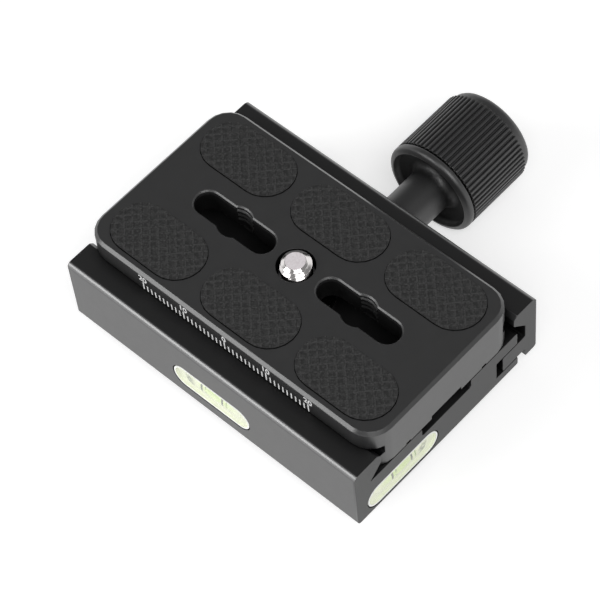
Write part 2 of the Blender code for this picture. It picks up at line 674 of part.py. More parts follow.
def make_clamp_knob(material):
    """Turned knob: neck, dished front face, plain rim, groove, fluted drum and a rounded plain end."""
    centre = (0.0, height(CLAMP_SCREW_HEIGHT))
    radius = KNOB_DIAMETER / 2
    neck = KNOB_NECK_DIAMETER / 2
    bore = CLAMP_SCREW_DIAMETER / 2 + SEAT_GAP
    lip_inner = radius - KNOB_RIM_LIP
    dish_radius = (lip_inner - neck) / 2
    dish_centre = (neck + dish_radius, KNOB_DISH_DEPTH - KNOB_DISH_LIFT)
    root = radius - KNOB_FLUTE_DEPTH
    groove = radius - KNOB_GROOVE_DEPTH
    bore_end = KNOB_DISH_DEPTH + CLAMP_SCREW_IN_KNOB + SEAT_GAP
    rim_centre = (radius - KNOB_RIM_RADIUS, KNOB_DISH_DEPTH + KNOB_RIM_RADIUS)
    front = [(0.0, bore_end), (bore, bore_end), (bore, KNOB_FRONT_DEPTH)]
    front += [(neck - KNOB_NECK_CHAMFER, KNOB_FRONT_DEPTH), (neck, KNOB_FRONT_DEPTH + KNOB_NECK_CHAMFER)]
    front += [(neck, KNOB_DISH_DEPTH - KNOB_FLARE_LENGTH)]
    front += arc_profile(dish_centre, dish_radius, 180.0, 0.0, DISH_STEPS)
    front += arc_profile(rim_centre, KNOB_RIM_RADIUS, -90.0, 0.0, RIM_STEPS)
    front += [(radius, KNOB_DISH_DEPTH + KNOB_RIM_WIDTH), (groove, KNOB_DISH_DEPTH + KNOB_RIM_WIDTH)]
    front += [(groove, KNOB_DRUM_FRONT)]
    end_radius = root - KNOB_END_LIFT
    band_end = KNOB_DRUM_BACK + KNOB_END_BAND
    end_centre = (end_radius - KNOB_END_RADIUS, band_end)
    back = [(end_radius, KNOB_DRUM_BACK)] + arc_profile(end_centre, KNOB_END_RADIUS, 0.0, 90.0, END_STEPS)
    back += [(0.0, band_end + KNOB_END_RADIUS)]

    bm = bmesh.new()
    rings = {"front": [], "back": []}
    for word, profile in (("front", front), ("back", back)):
        for ring_radius, along in profile:
            if ring_radius == 0:
                rings[word].append([bm.verts.new(on_axis("Y", *centre, depth(along)))])
                continue
            outline = circle_outline(*centre, 2 * ring_radius, KNOB_FLUTE_COUNT)
            rings[word].append([bm.verts.new(on_axis("Y", *point, depth(along))) for point in outline])
    for index in range(KNOB_FLUTE_COUNT):
        following = (index + 1) % KNOB_FLUTE_COUNT
        bm.faces.new((rings["front"][0][0], rings["front"][1][index], rings["front"][1][following]))
        bm.faces.new((rings["back"][-1][0], rings["back"][-2][index], rings["back"][-2][following]))
    for lower, upper in zip(rings["front"][1:], rings["front"][2:]):
        ring_faces(bm, lower, upper)
    for lower, upper in zip(rings["back"][:-1], rings["back"][1:-1]):
        ring_faces(bm, lower, upper)
    drum_front = fluted_ring(bm, depth(KNOB_DRUM_FRONT), centre)
    drum_back = fluted_ring(bm, depth(KNOB_DRUM_BACK), centre)
    join_flutes(bm, rings["front"][-1], drum_front)
    join_flutes(bm, rings["back"][0], drum_back)
    ring_faces(bm, sum(drum_front, []), sum(drum_back, []))
    knob = add_object("clamp_knob", bm, material, SCREW_AXIS)
    shade_round(knob, 25.0)


def plate_outline():
    """End view of the plate: dovetail flanks, neck and underside, wider than the plan that trims it."""
    out = PLATE_WIDTH / 2 + CUTTER_PASS
    bottom = PLATE_BOTTOM_HEIGHT
    relief_in = RELIEF_OFFSET - RELIEF_WIDTH / 2
    relief_out = RELIEF_OFFSET + RELIEF_WIDTH / 2
    half = [
        (KEYWAY_WIDTH / 2, bottom + KEYWAY_DEPTH),
        (KEYWAY_WIDTH / 2, bottom),
        (relief_in, bottom),
        (relief_in, bottom + RELIEF_DEPTH),
        (relief_out, bottom + RELIEF_DEPTH),
        (relief_out, bottom),
        (PLATE_WIDTH / 2 + PLATE_FLANGE_EDGE, bottom),
        (PLATE_NECK_WIDTH / 2, FLANGE_TOP_HEIGHT + PLATE_FLANK_DROP),
        (PLATE_NECK_WIDTH / 2, PLATE_BODY_HEIGHT),
        (out, PLATE_BODY_HEIGHT),
        (out, PLATE_TOP_HEIGHT + CUTTER_PASS),
    ]
    whole = half + [(-a, b) for a, b in reversed(half)]
    return [Vector((CENTRE_Y + a, height(b))) for a, b in whole]


def pad_places():
    """Centre of each rubber pad by name."""
    places = {}
    for row, row_word in ((-1, "front"), (1, "back")):
        for column, column_word in ((-1, "left"), (0, "middle"), (1, "right")):
            name = f"pad_{row_word}_{column_word}"
            places[name] = (column * PAD_PITCH, CENTRE_Y + row * PAD_ROW_OFFSET)
    return places


def chamfered_cutter(outline_at, top, low, bm):
    """A cutter whose outline opens out at the top to leave a chamfer. It ends a little above the top."""
    outlines = [outline_at(0.0), outline_at(0.0), outline_at(SLOT_EDGE_CHAMFER + CUTTER_PASS)]
    levels = [height(low), height(top - SLOT_EDGE_CHAMFER), height(top + CUTTER_PASS)]
    return tapered_prism(outlines, "Z", levels, bm)


def make_camera_plate(material):
    reach = HALF_LENGTH + CUTTER_PASS
    plate = add_object("camera_plate", prism(plate_outline(), "X", -reach, reach), material)

    def plan(inset):
        length = PLATE_LENGTH - 2 * inset
        width = PLATE_WIDTH - 2 * inset
        return rectangle_outline(0.0, CENTRE_Y, length, width, PLATE_CORNER_RADIUS - inset)

    low = height(PLATE_BOTTOM_HEIGHT - CUTTER_PASS)
    levels = [low, height(PLATE_TOP_HEIGHT - PLATE_TOP_CHAMFER), height(PLATE_TOP_HEIGHT)]
    blank = tapered_prism([plan(0.0), plan(0.0), plan(PLATE_TOP_CHAMFER)], "Z", levels)
    cut(plate, blank, "keep_plan", "INTERSECT")

    pad_floor = PLATE_TOP_HEIGHT + PAD_PROUD - PAD_THICKNESS - SEAT_GAP
    pads = bmesh.new()
    for place in pad_places().values():
        shape = stadium_outline(*place, PAD_LENGTH + 2 * SEAT_GAP, PAD_WIDTH + 2 * SEAT_GAP)
        prism(shape, "Z", height(pad_floor), height(PLATE_TOP_HEIGHT + CUTTER_PASS), pads)
    cut(plate, pads, "cut_pad_pockets")

    below = POCKET_ROOF_HEIGHT - CUTTER_PASS
    pocket = prism(
        stadium_outline(0.0, CENTRE_Y, POCKET_LENGTH, POCKET_WIDTH),
        "Z",
        height(PLATE_BOTTOM_HEIGHT - CUTTER_PASS),
        height(POCKET_ROOF_HEIGHT),
    )
    cut(plate, pocket, "cut_underside_pocket")

    slots = bmesh.new()
    eyes = bmesh.new()
    for side in (-1, 1):
        middle = side * SLOT_OFFSET
        chamfered_cutter(
            lambda grow: stadium_outline(middle, CENTRE_Y, SLOT_LENGTH + 2 * grow, SLOT_WIDTH + 2 * grow),
            PLATE_TOP_HEIGHT,
            below,
            slots,
        )
        chamfered_cutter(
            lambda grow: circle_outline(middle, CENTRE_Y, SLOT_EYE_DIAMETER + 2 * grow),
            PLATE_TOP_HEIGHT,
            below - CUTTER_PASS,
            eyes,
        )
    cut(plate, slots, "cut_slots")
    cut(plate, eyes, "cut_slot_eyes")

    axis = (0.0, CENTRE_Y)
    above = height(PLATE_TOP_HEIGHT + CUTTER_PASS)
    cut(plate, rod(SCREW_HOLE_DIAMETER, "Z", axis, height(below), above), "cut_screw_hole")
    counterbore = rod(COUNTERBORE_DIAMETER, "Z", axis, height(COUNTERBORE_FLOOR_HEIGHT), above, ROUND_SIDES)
    cut(plate, counterbore, "cut_counterbore")


def make_pads(material):
    top = PLATE_TOP_HEIGHT + PAD_PROUD
    inset = 2 * PAD_EDGE_CHAMFER
    levels = [height(top - PAD_THICKNESS), height(top - PAD_EDGE_CHAMFER), height(top)]
    for name, place in pad_places().items():
        full = stadium_outline(*place, PAD_LENGTH, PAD_WIDTH)
        inner = stadium_outline(*place, PAD_LENGTH - inset, PAD_WIDTH - inset)
        add_object(name, tapered_prism([full, full, inner], "Z", levels), material)


def make_camera_screw(material):
    """Captive screw: slotted head in the underside pocket, shank, ring groove, thread and pointed end."""
    head_low = PLATE_BOTTOM_HEIGHT + SEAT_GAP
    head_top = head_low + SCREW_HEAD_THICKNESS
    groove_low = COUNTERBORE_FLOOR_HEIGHT
    groove_top = COUNTERBORE_FLOOR_HEIGHT + SEAT_GAP + RING_THICKNESS + SEAT_GAP
    tip = PLATE_TOP_HEIGHT + SCREW_PROTRUSION
    thread_top = tip - THREAD_TOP_DEPTH
    thread = THREAD_DIAMETER / 2
    point = SCREW_POINT_DIAMETER / 2
    shank = SCREW_SHANK_DIAMETER / 2
    neck = SCREW_NECK_DIAMETER / 2
    head = SCREW_HEAD_DIAMETER / 2
    profile = [
        (0.0, head_low),
        (head - SCREW_HEAD_CHAMFER, head_low),
        (head, head_low + SCREW_HEAD_CHAMFER),
        (head, head_top - SCREW_HEAD_CHAMFER),
        (head - SCREW_HEAD_CHAMFER, head_top),
        (shank, head_top),
        (shank, groove_low),
        (neck, groove_low),
        (neck, groove_top),
        (thread, groove_top),
        (thread, thread_top - THREAD_TOP_CHAMFER),
        (point, thread_top),
        (point, tip - SCREW_POINT_CHAMFER),
        (SCREW_TIP_DIAMETER / 2, tip),
        (0.0, tip),
    ]
    placed = [(radius, height(along)) for radius, along in profile]
    axis = (0.0, CENTRE_Y)
    origin = (0.0, CENTRE_Y, height(head_low))
    screw = add_object("camera_screw", turned(placed, "Z", axis, ROUND_SIDES), material, origin)
    slot = rectangle_outline(0.0, CENTRE_Y, SCREW_HEAD_DIAMETER + CUTTER_PASS, COIN_SLOT_WIDTH, 0.0)
    slot_cutter = prism(slot, "Z", height(head_low - CUTTER_PASS), height(head_low + COIN_SLOT_DEPTH))
    cut(screw, slot_cutter, "cut_coin_slot")


def make_retaining_ring(material):
    """Open spring ring in the screw's groove, resting on the floor of the plate's counterbore."""
    low = COUNTERBORE_FLOOR_HEIGHT + SEAT_GAP
    start = math.radians(RING_OPENING_DEG / 2)
    sweep = 2 * math.pi - 2 * start
    outline = []
    for radius, order in (
        (RING_OUTER_DIAMETER / 2, range(RING_STEPS + 1)),
        (SCREW_NECK_DIAMETER / 2 + SEAT_GAP, reversed(range(RING_STEPS + 1))),
    ):
        for step in order:
            angle = start + sweep * step / RING_STEPS
            outline.append(Vector((radius * math.cos(angle), CENTRE_Y + radius * math.sin(angle))))
    bm = prism(outline, "Z", height(low), height(low + RING_THICKNESS))
    add_object("screw_retaining_ring", bm, material, (0.0, CENTRE_Y, height(low)))


def make_levels(body_material, fluid_material, plug_material):
    """Each level is a moulded body with a bore along it, the fluid in the bore and a plug behind it."""
    for name, place in level_places().items():
        a, b = place["centre"]
        inward = place["inward"]
        face = place["outer"] + inward * VIAL_INSET
        back = face + inward * VIAL_DEPTH
        shape = stadium_outline(a, b, VIAL_LENGTH, VIAL_HEIGHT)
        body_mesh = prism(shape, place["axis"], min(face, back), max(face, back))
        body = add_object(name + "_vial", body_mesh, body_material)
        bore_axis_depth = face + inward * (VIAL_BORE_WALL + VIAL_BORE / 2)
        bore_centre = (bore_axis_depth, b)
        start = a - VIAL_LENGTH / 2 + VIAL_BORE_WALL
        end = a + VIAL_LENGTH / 2
        along = place["length_axis"]
        bore = rod(VIAL_BORE, along, bore_centre, start, end + CUTTER_PASS, SMALL_SIDES)
        cut(body, bore, "cut_" + name + "_bore")
        plug_end = end - VIAL_PLUG_INSET
        plug_start = plug_end - VIAL_PLUG_LENGTH
        inner = VIAL_BORE - 2 * SEAT_GAP
        fluid = rod(inner, along, bore_centre, start + SEAT_GAP, plug_start - SEAT_GAP, SMALL_SIDES)
        add_object(name + "_fluid", fluid, fluid_material)
        plug = rod(inner, along, bore_centre, plug_start, plug_end, SMALL_SIDES)
        add_object(name + "_plug", plug, plug_material)


def make_tripod_bushing(material):
    """Threaded bushing in the middle of the base, with a driver slot across its lower end."""
    axis = (0.0, CENTRE_Y)
    low = height(SEAT_GAP)
    high = height(SEAT_GAP + BUSHING_LENGTH)
    body = rod(BUSHING_DIAMETER, "Z", axis, low, high, ROUND_SIDES)
    bushing = add_object("tripod_bushing", body, material)
    bore = rod(BUSHING_BORE, "Z", axis, low - CUTTER_PASS, high + CUTTER_PASS)
    cut(bushing, bore, "cut_bushing_bore")
    slot = rectangle_outline(*axis, BUSHING_DIAMETER + CUTTER_PASS, BUSHING_SLOT_WIDTH, 0.0)
    cut(bushing, prism(slot, "Z", low - CUTTER_PASS, low + BUSHING_SLOT_DEPTH), "cut_bushing_slot")


def main():
    clear_scene()
    anodised = finish_material("black_anodised", (0.030, 0.030, 0.032), 0.42, 0.6)
    plate_finish = finish_material("plate_anodised", (0.032, 0.032, 0.034), 0.40, 0.6)
    knob_finish = finish_material("knob_anodised", (0.032, 0.032, 0.033), 0.45, 0.5)
    steel = finish_material("steel", (0.62, 0.60, 0.58), 0.28, 1.0)
    spring_steel = finish_material("spring_steel", (0.45, 0.45, 0.46), 0.35, 1.0)
    nylon = finish_material("washer_nylon", (0.75, 0.74, 0.70), 0.5, 0.0)
    rubber = finish_material("pad_rubber", (0.028, 0.028, 0.030), 0.85, 0.0)
    acrylic = finish_material("level_acrylic", (0.86, 0.88, 0.80), 0.08, 0.0)
    fluid = finish_material("level_fluid", (0.62, 0.85, 0.16), 0.10, 0.0)
    plug = finish_material("level_plug", (0.85, 0.86, 0.82), 0.35, 0.0)
    brass = finish_material("bushing_brass", (0.72, 0.55, 0.25), 0.32, 1.0)

    make_clamp_base(anodised)
    make_sliding_jaw(anodised)
    make_guide_pins(steel)
    make_return_springs(spring_steel)
    make_clamp_screw(steel)
    make_thrust_washer(nylon)
    make_clamp_knob(knob_finish)
    make_camera_plate(plate_finish)
    make_pads(rubber)
    make_camera_screw(steel)
    make_retaining_ring(spring_steel)
    make_levels(acrylic, fluid, plug)
    make_tripod_bushing(brass)


main()
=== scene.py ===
"""Looks for the dovetail clamp with its screw knob and its slotted camera plate.

Places are in metres in the part's own frame: X along the dovetail, Y from the fixed jaw at the front to
the knob at the back, Z up. Sizes of added pieces are given in millimetres and multiplied by MM.
"""
import math

import bmesh
import bpy
from mathutils import Matrix, Vector


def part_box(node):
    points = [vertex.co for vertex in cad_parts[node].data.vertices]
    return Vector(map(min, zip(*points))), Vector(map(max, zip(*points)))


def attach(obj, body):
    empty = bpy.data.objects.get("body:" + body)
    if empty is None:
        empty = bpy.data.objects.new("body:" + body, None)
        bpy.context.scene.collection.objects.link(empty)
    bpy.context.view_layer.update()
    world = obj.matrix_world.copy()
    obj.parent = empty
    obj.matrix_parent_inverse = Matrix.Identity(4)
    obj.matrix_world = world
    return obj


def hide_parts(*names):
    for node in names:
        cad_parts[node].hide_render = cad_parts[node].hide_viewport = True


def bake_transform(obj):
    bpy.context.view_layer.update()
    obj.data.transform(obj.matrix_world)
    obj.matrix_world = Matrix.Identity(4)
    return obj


MM = 0.001

# Rounded forms of the solids: faces that meet at less than this angle shade as one curve
SMOOTH_BELOW_DEG = 35.0
SAME_SPOT = 0.002 * MM
SAME_PLANE = 0.02 * MM

# Anodised finish: a fine grain over slow clouds, with painted shade darkening its corners
ANODISED_IOR = 1.77
GRAIN_PER_MM = 9.0
CLOUDS_PER_MM = 0.35
EDGE_TURN_START = 0.02
EDGE_TURN_FULL = 0.22
PAINTED_SHADE_REACH = 4.5 * MM
PAINTED_SHADE_FULL = 0.25
PAINTED_SHADE_NONE = 0.85

# Faces of the anodised parts that differ: colour level, roughness and strength of the shine. The clamp's
# ends, its jaws' tops, the knob's hollow and the plate's slot walls carry painted shade, the jaws' rounded
# upper edges a painted highlight
SHADED_END = (0.010, 0.42, 0.24)
SHADED_JAW_TOP = (0.008, 0.40, 0.27)
EDGE_BAND_HIGHLIGHT = (0.030, 0.32, 1.0)
KNOB_HOLLOW_SHADE = (0.003, 0.55, 0.10)
SLOT_SHADE = (0.004, 0.60, 0.12)
CHAMFER_LEVEL = 0.016
CHAMFER_SHINE = 0.5

# Where those faces lie, as distances from the top, the side or the middle: the finish has no share at
# the first and its whole share from the second on
JAW_FACE_ZONE = (0.6 * MM, 0.4 * MM)
JAW_ROUND_ZONE = (1.3 * MM, 1.0 * MM)
CHAMFER_DEPTH_ZONE = (1.2 * MM, 1.0 * MM)
CHAMFER_SIDE_ZONE = (1.5 * MM, 1.2 * MM)
SLOT_DEPTH_ZONE = (0.7 * MM, 1.3 * MM)
SLOT_REACH_ACROSS = (9.5 * MM, 9.0 * MM)
SLOT_REACH_ALONG = (31.0 * MM, 30.0 * MM)

# Camera, solved from the clamp's edges in the photograph
CAMERA_AZIMUTH_DEG = 47.975
CAMERA_ELEVATION_DEG = 56.199
CAMERA_ROLL_DEG = -6.876
CAMERA_DISTANCE = 475.55 * MM
CAMERA_AIM_DEPTH = 24.467 * MM
CAMERA_AIM_RIGHT = 0.871 * MM
CAMERA_AIM_UP = -5.244 * MM
SENSOR_WIDTH = 36.0
LENS = 154.18

# Light
SKY_LEVEL = 0.25
HORIZON_LEVEL = 1.0
HORIZON_HEIGHT = 0.22
FLOOR_SIZE = 6.0
FLOOR_DROP = 0.01 * MM
FLOOR_ALBEDO = 0.70
FLOOR_LIFT = 0.53
FLOOR_FADE_START = 0.22
FLOOR_FADE_END = 0.55

# Rubber pads: a grid of fine raised lines, set diagonally to the plate's edges
PAD_LINE_PITCH = 1.55 * MM
PAD_LINE_WIDTH = 0.22 * MM
PAD_LINE_SLOPE = 0.14 * MM
PAD_LINE_HEIGHT = 0.08 * MM
PAD_FLOOR_DROP = 0.02 * MM
PAD_BORDER = 0.19 * MM
PAD_SHIFT = 0.09 * MM
PAD_WEAVE_PITCH = PAD_LINE_PITCH / 2
PAD_WEAVE_WIDTH = 0.16
PAD_SPECKS_PER_MM = 2.6
PAD_DARK = 0.018
PAD_LIGHT = 0.026
PAD_THREAD = 0.036
PAD_SPECK = 0.046
PAD_WORN = 0.042
# Painted shade on the pads' side walls
PAD_WALL_SHADE = 0.004

# Hollow in the front of the knob, which carries painted shade: radii round its axis and depth from its
# foremost face
DISH_INNER = 4.7 * MM
DISH_MIDDLE = 6.0 * MM
DISH_OUTER = 8.7 * MM
DISH_DEPTH = 12.5 * MM
DISH_BLUR = 0.5 * MM

# Engraved scale on the front side of the plate
SCALE_HALF_COUNT = 20
SCALE_STEP = 1.0 * MM
SCALE_LABEL_STEP = 10
SCALE_ABOVE_JAW = 0.3 * MM
TICK_WIDTH = 0.30 * MM
TICK_SHORT = 1.65 * MM
TICK_LONG = 2.20 * MM
TICK_PROUD = 0.02 * MM
TICK_FOOT = 0.10 * MM
DIGIT_HEIGHT = 1.45 * MM
DIGIT_FOOT = 2.40 * MM
DIGIT_SHARE_OF_SIZE = 0.72
DIGIT_THICKENING = 0.035 * MM

# Camera screw: a quarter-inch thread of twenty turns an inch
THREAD_PITCH = 1.27 * MM
THREAD_CREST = 3.02 * MM
THREAD_ROOT = 2.42 * MM
THREAD_SIDES = 96
THREAD_ROWS_PER_TURN = 20
THREAD_PHASE_TURNS = 0.10
TIP_RADIUS = 1.90 * MM
TIP_SLOPE = 1.25
TIP_SINK = 0.35 * MM
TIP_FACE = 0.02 * MM
HEAD_RADIUS = 7.0 * MM
HEAD_THICKNESS = 2.2 * MM
HEAD_EDGE = 0.4 * MM
SHANK_RADIUS = 2.8 * MM
SHANK_TOP_DEPTH = 4.0 * MM
NECK_RADIUS = 2.3 * MM
NECK_LENGTH = 1.2 * MM
COIN_SLOT_WIDTH = 1.6 * MM
COIN_SLOT_DEPTH = 1.1 * MM
COIN_SLOT_REACH = 8.0 * MM

# Threads inside round holes
EYE_OFFSET = 15.0 * MM
EYE_RADIUS = 3.35 * MM
EYE_THREAD_DEPTH = 0.3 * MM
EYE_THREAD_START = 5.4 * MM
EYE_THREAD_END = 0.35 * MM
EYE_THREAD_ARCS = ((54.0, 126.0), (234.0, 306.0))
BUSHING_RADIUS = 3.2 * MM
BUSHING_THREAD_DEPTH = 0.55 * MM
BUSHING_LEAD = 1.3 * MM
THREAD_STEP_DEG = 6.0
THREAD_ROOTED = 0.05 * MM

# Bubble levels, seen from outside: depths are measured from the window's outer face
LEVEL_CUP_WALL = 0.36 * MM
LEVEL_CUP_DEPTH = 0.62 * MM
LEVEL_WINDOW_NEAR = 0.03 * MM
LEVEL_WINDOW_FAR = 0.11 * MM
LEVEL_TUBE_LENGTH = 13.6 * MM
LEVEL_TUBE_RADIUS = 1.65 * MM
LEVEL_TUBE_BULGE = 0.42 * MM
LEVEL_MARK_OFFSET = 2.55 * MM
LEVEL_MARK_WIDTH = 0.44 * MM
LEVEL_MARK_SHARE = 0.40
LEVEL_GHOST_SHIFT = 1.0 * MM
LEVEL_GHOST_WIDTH = 0.34 * MM
LEVEL_BUBBLE_LENGTH = 4.2 * MM
LEVEL_BUBBLE_WIDTH = 1.7 * MM
LEVEL_BUBBLE_THICKNESS = 0.08 * MM
LEVEL_BUBBLE_SHIFT = 0.2 * MM
LEVEL_BUBBLE_RISE = 0.35 * MM
LEVEL_MARK_LIFT = 0.015 * MM
LEVEL_MARK_LEAN = 0.35
LEVEL_TUBE_SIDES = 28
LEVEL_END_STEPS = 8
LEVEL_DARK_PATCH_OFFSET = 5.6 * MM
LEVEL_DARK_PATCH_RADIUS = 1.7 * MM
LEVEL_CREAM = (0.86, 0.89, 0.72, 1.0)
LEVEL_CREAM_LIGHT = (0.94, 0.95, 0.86, 1.0)
LEVEL_GREEN = (0.78, 0.95, 0.42, 1.0)
# Painted highlights: lighter patches over the level
LEVEL_HIGHLIGHT_PATCH = (0.90, 0.96, 0.74, 1.0)
LEVEL_DARK_PATCH = (0.16, 0.20, 0.13, 1.0)
LEVEL_RIM = (0.97, 0.98, 0.95, 1.0)


class Shader:
    """A material's nodes, added one after another and linked by their inputs."""

    def __init__(self, name):
        self.material = bpy.data.materials.new(name)
        self.material.use_nodes = True
        self.tree = self.material.node_tree
        self.principled = self.tree.nodes["Principled BSDF"]

    def add(self, kind, inputs=(), **settings):
        """Adds a node. An input's value is a number, a colour or another node's output socket."""
        made = self.tree.nodes.new(kind)
        for key, value in settings.items():
            setattr(made, key, value)
        for key, value in dict(inputs).items():
            self.feed(made.inputs[key], value)
        return made

    def feed(self, socket, value):
        if isinstance(value, bpy.types.NodeSocket):
            self.tree.links.new(value, socket)
        else:
            socket.default_value = value

    def finish(self, **inputs):
        """Sets the Principled shader's inputs, named with underscores for spaces."""
        for key, value in inputs.items():
            self.feed(self.principled.inputs[key.replace("_", " ")], value)
        return self.material

    def math(self, operation, first, second=0.0, clamp=False):
        made = self.add("ShaderNodeMath", {0: first, 1: second}, operation=operation, use_clamp=clamp)
        return made.outputs[0]

    def step(self, value, low, high):
        """Zero below low and one above high, smooth between."""
        made = self.add(
            "ShaderNodeMapRange",
            {"Value": value, "From Min": low, "From Max": high},
            interpolation_type="SMOOTHSTEP",
        )
        return made.outputs["Result"]

    def zone(self, value, edge, depths):
        """Zero at the first depth inward from an edge and one at the second."""
        return self.step(value, edge - depths[0], edge - depths[1])

    def mix(self, share, first, second):
        made = self.add("ShaderNodeMix", data_type="RGBA")
        self.feed(made.inputs["Factor"], share)
        self.feed(made.inputs[6], first)
        self.feed(made.inputs[7], second)
        return made.outputs[2]

    def blend(self, share, first, second):
        """Two numbers mixed by a share."""
        made = self.add("ShaderNodeMix", data_type="FLOAT")
        self.feed(made.inputs["Factor"], share)
        self.feed(made.inputs[2], first)
        self.feed(made.inputs[3], second)
        return made.outputs[0]

    def place(self):
        return self.add("ShaderNodeTexCoord").outputs["Object"]

    def axes(self, vector):
        """The three numbers of a vector."""
        return self.add("ShaderNodeSeparateXYZ", {"Vector": vector}).outputs

    def noise(self, per_mm, detail=2.0, stretch=(1.0, 1.0, 1.0)):
        """Noise between zero and one, with about that many grains a millimetre."""
        stretched = self.add("ShaderNodeMapping", {"Vector": self.place(), "Scale": stretch})
        made = self.add(
            "ShaderNodeTexNoise",
            {"Vector": stretched.outputs[0], "Scale": per_mm / MM, "Detail": detail, "Roughness": 0.55},
        )
        return made.outputs["Fac"]

    def bump(self, height, strength, distance, normal=None):
        inputs = {"Strength": strength, "Distance": distance, "Height": height}
        if normal is not None:
            inputs["Normal"] = normal
        return self.add("ShaderNodeBump", inputs).outputs["Normal"]

    def soft_edges(self, radius):
        return self.add("ShaderNodeBevel", {"Radius": radius}, samples=6).outputs["Normal"]

    def edge_mask(self, soft_normal):
        """One along the edges, where the softened normal leaves the face's own."""
        own = self.add("ShaderNodeNewGeometry").outputs["Normal"]
        turn = self.add("ShaderNodeVectorMath", {0: soft_normal, 1: own}, operation="DOT_PRODUCT")
        return self.step(self.math("SUBTRACT", 1.0, turn.outputs["Value"]), EDGE_TURN_START, EDGE_TURN_FULL)

    def away(self, value, middle):
        """Distance of one coordinate from a middle, to either side."""
        return self.math("ABSOLUTE", self.math("SUBTRACT", value, middle))


def grey(level, tint=1.03):
    """A near-black or grey colour, a touch cooler in blue."""
    return (level, level, level * tint, 1.0)


def anodised(name, level, roughness, worked_and_shaded, edge_radius=0.16 * MM):
    """Black anodised aluminium: blasted grain, uneven sheen, and edges lightened as a painted highlight.

    Painted shade makes it a deeper and duller black in corners and under overhangs. Some faces differ from
    the blasted ones by their finish, by painted shade or by a painted highlight: the function given as the
    fourth argument gives their share, colour level, roughness and shine.
    """
    nodes = Shader(name)
    soft = nodes.soft_edges(edge_radius)
    edges = nodes.edge_mask(soft)
    grain = nodes.noise(GRAIN_PER_MM)
    cloud = nodes.noise(CLOUDS_PER_MM, detail=3.0)
    colour = nodes.mix(cloud, grey(level * 0.85), grey(level * 1.15))
    # Painted highlight: the black turns grey along the edges
    colour = nodes.mix(nodes.math("MULTIPLY", edges, 0.4), colour, grey(level * 3.0))
    rough = nodes.blend(cloud, roughness - 0.03, roughness + 0.03)
    rough = nodes.math("ADD", rough, nodes.math("MULTIPLY", nodes.math("SUBTRACT", grain, 0.5), 0.08))
    relief = nodes.bump(grain, 0.10, 0.02 * MM, soft)
    shine = 0.5
    for share, other_level, other_rough, other_shine in worked_and_shaded(nodes):
        colour = nodes.mix(share, colour, grey(other_level))
        rough = nodes.blend(share, rough, other_rough)
        shine = nodes.blend(share, shine, other_shine)
    # Painted shade: where other surfaces lie near, the black turns deeper and its shine weaker
    corners = nodes.add("ShaderNodeAmbientOcclusion", {"Distance": PAINTED_SHADE_REACH}, samples=4)
    clear = nodes.step(corners.outputs["AO"], PAINTED_SHADE_FULL, PAINTED_SHADE_NONE)
    colour = nodes.mix(clear, grey(level * 0.15), colour)
    shine = nodes.math("MULTIPLY", shine, nodes.blend(clear, 0.12, 1.0))
    return nodes.finish(
        Base_Color=colour, Roughness=rough, Normal=relief, IOR=ANODISED_IOR, Specular_IOR_Level=shine
    )


def clamp_faces(nodes):
    """The clamp's milled ends and its jaws' tops get painted shade, darker and duller, and its rounded
    upper edges a painted highlight, lighter and shinier.
    """
    normal = nodes.axes(nodes.add("ShaderNodeNewGeometry").outputs["Normal"])
    height = nodes.axes(nodes.place())[2]
    # Painted shade on the end faces and the jaws' tops, and a painted highlight on the rounded upper edges
    ends = nodes.step(nodes.math("ABSOLUTE", normal[0]), 0.85, 0.95)
    high = nodes.zone(height, JAW_TOP, JAW_FACE_ZONE)
    tops = nodes.math("MULTIPLY", nodes.step(normal[2], 0.93, 0.985), high)
    off_upright = nodes.step(normal[2], 0.10, 0.45)
    off_level = nodes.step(normal[2], 0.985, 0.90)
    sloped = nodes.math("MULTIPLY", off_upright, off_level)
    upper = nodes.zone(height, JAW_TOP, JAW_ROUND_ZONE)
    outward = nodes.step(nodes.math("ABSOLUTE", normal[1]), 0.15, 0.40)
    highlight_bands = nodes.math("MULTIPLY", nodes.math("MULTIPLY", sloped, upper), outward)
    return ((ends, *SHADED_END), (tops, *SHADED_JAW_TOP), (highlight_bands, *EDGE_BAND_HIGHLIGHT))


def knob_faces(nodes):
    """The hollow in the front of the knob, behind its rim, carries painted shade: a duller, deeper black.
    """
    place = nodes.add("ShaderNodeVectorMath", {0: nodes.place(), 1: KNOB_FRONT}, operation="SUBTRACT")
    offset = nodes.axes(place.outputs["Vector"])
    squares = [nodes.math("MULTIPLY", offset[axis], offset[axis]) for axis in (0, 2)]
    radius = nodes.math("SQRT", nodes.math("ADD", *squares))
    outside_neck = nodes.step(radius, DISH_INNER, DISH_MIDDLE)
    inside_rim = nodes.step(radius, DISH_OUTER, DISH_OUTER - DISH_BLUR)
    front = nodes.step(offset[1], DISH_DEPTH + DISH_BLUR, DISH_DEPTH)
    hollow = nodes.math("MULTIPLY", nodes.math("MULTIPLY", outside_neck, inside_rim), front)
    return ((hollow, *KNOB_HOLLOW_SHADE),)


def plate_faces(nodes):
    """The plate's long upper edges are freshly cut and bright, and the walls of its slots carry painted
    shade.
    """
    lines = nodes.noise(3.0, detail=3.0, stretch=(0.02, 1.0, 1.0))
    bright = nodes.blend(lines, 0.24, 0.38)
    chamfers = (long_side_chamfers(nodes), CHAMFER_LEVEL, bright, CHAMFER_SHINE)
    return (chamfers, (slot_walls(nodes), *SLOT_SHADE))


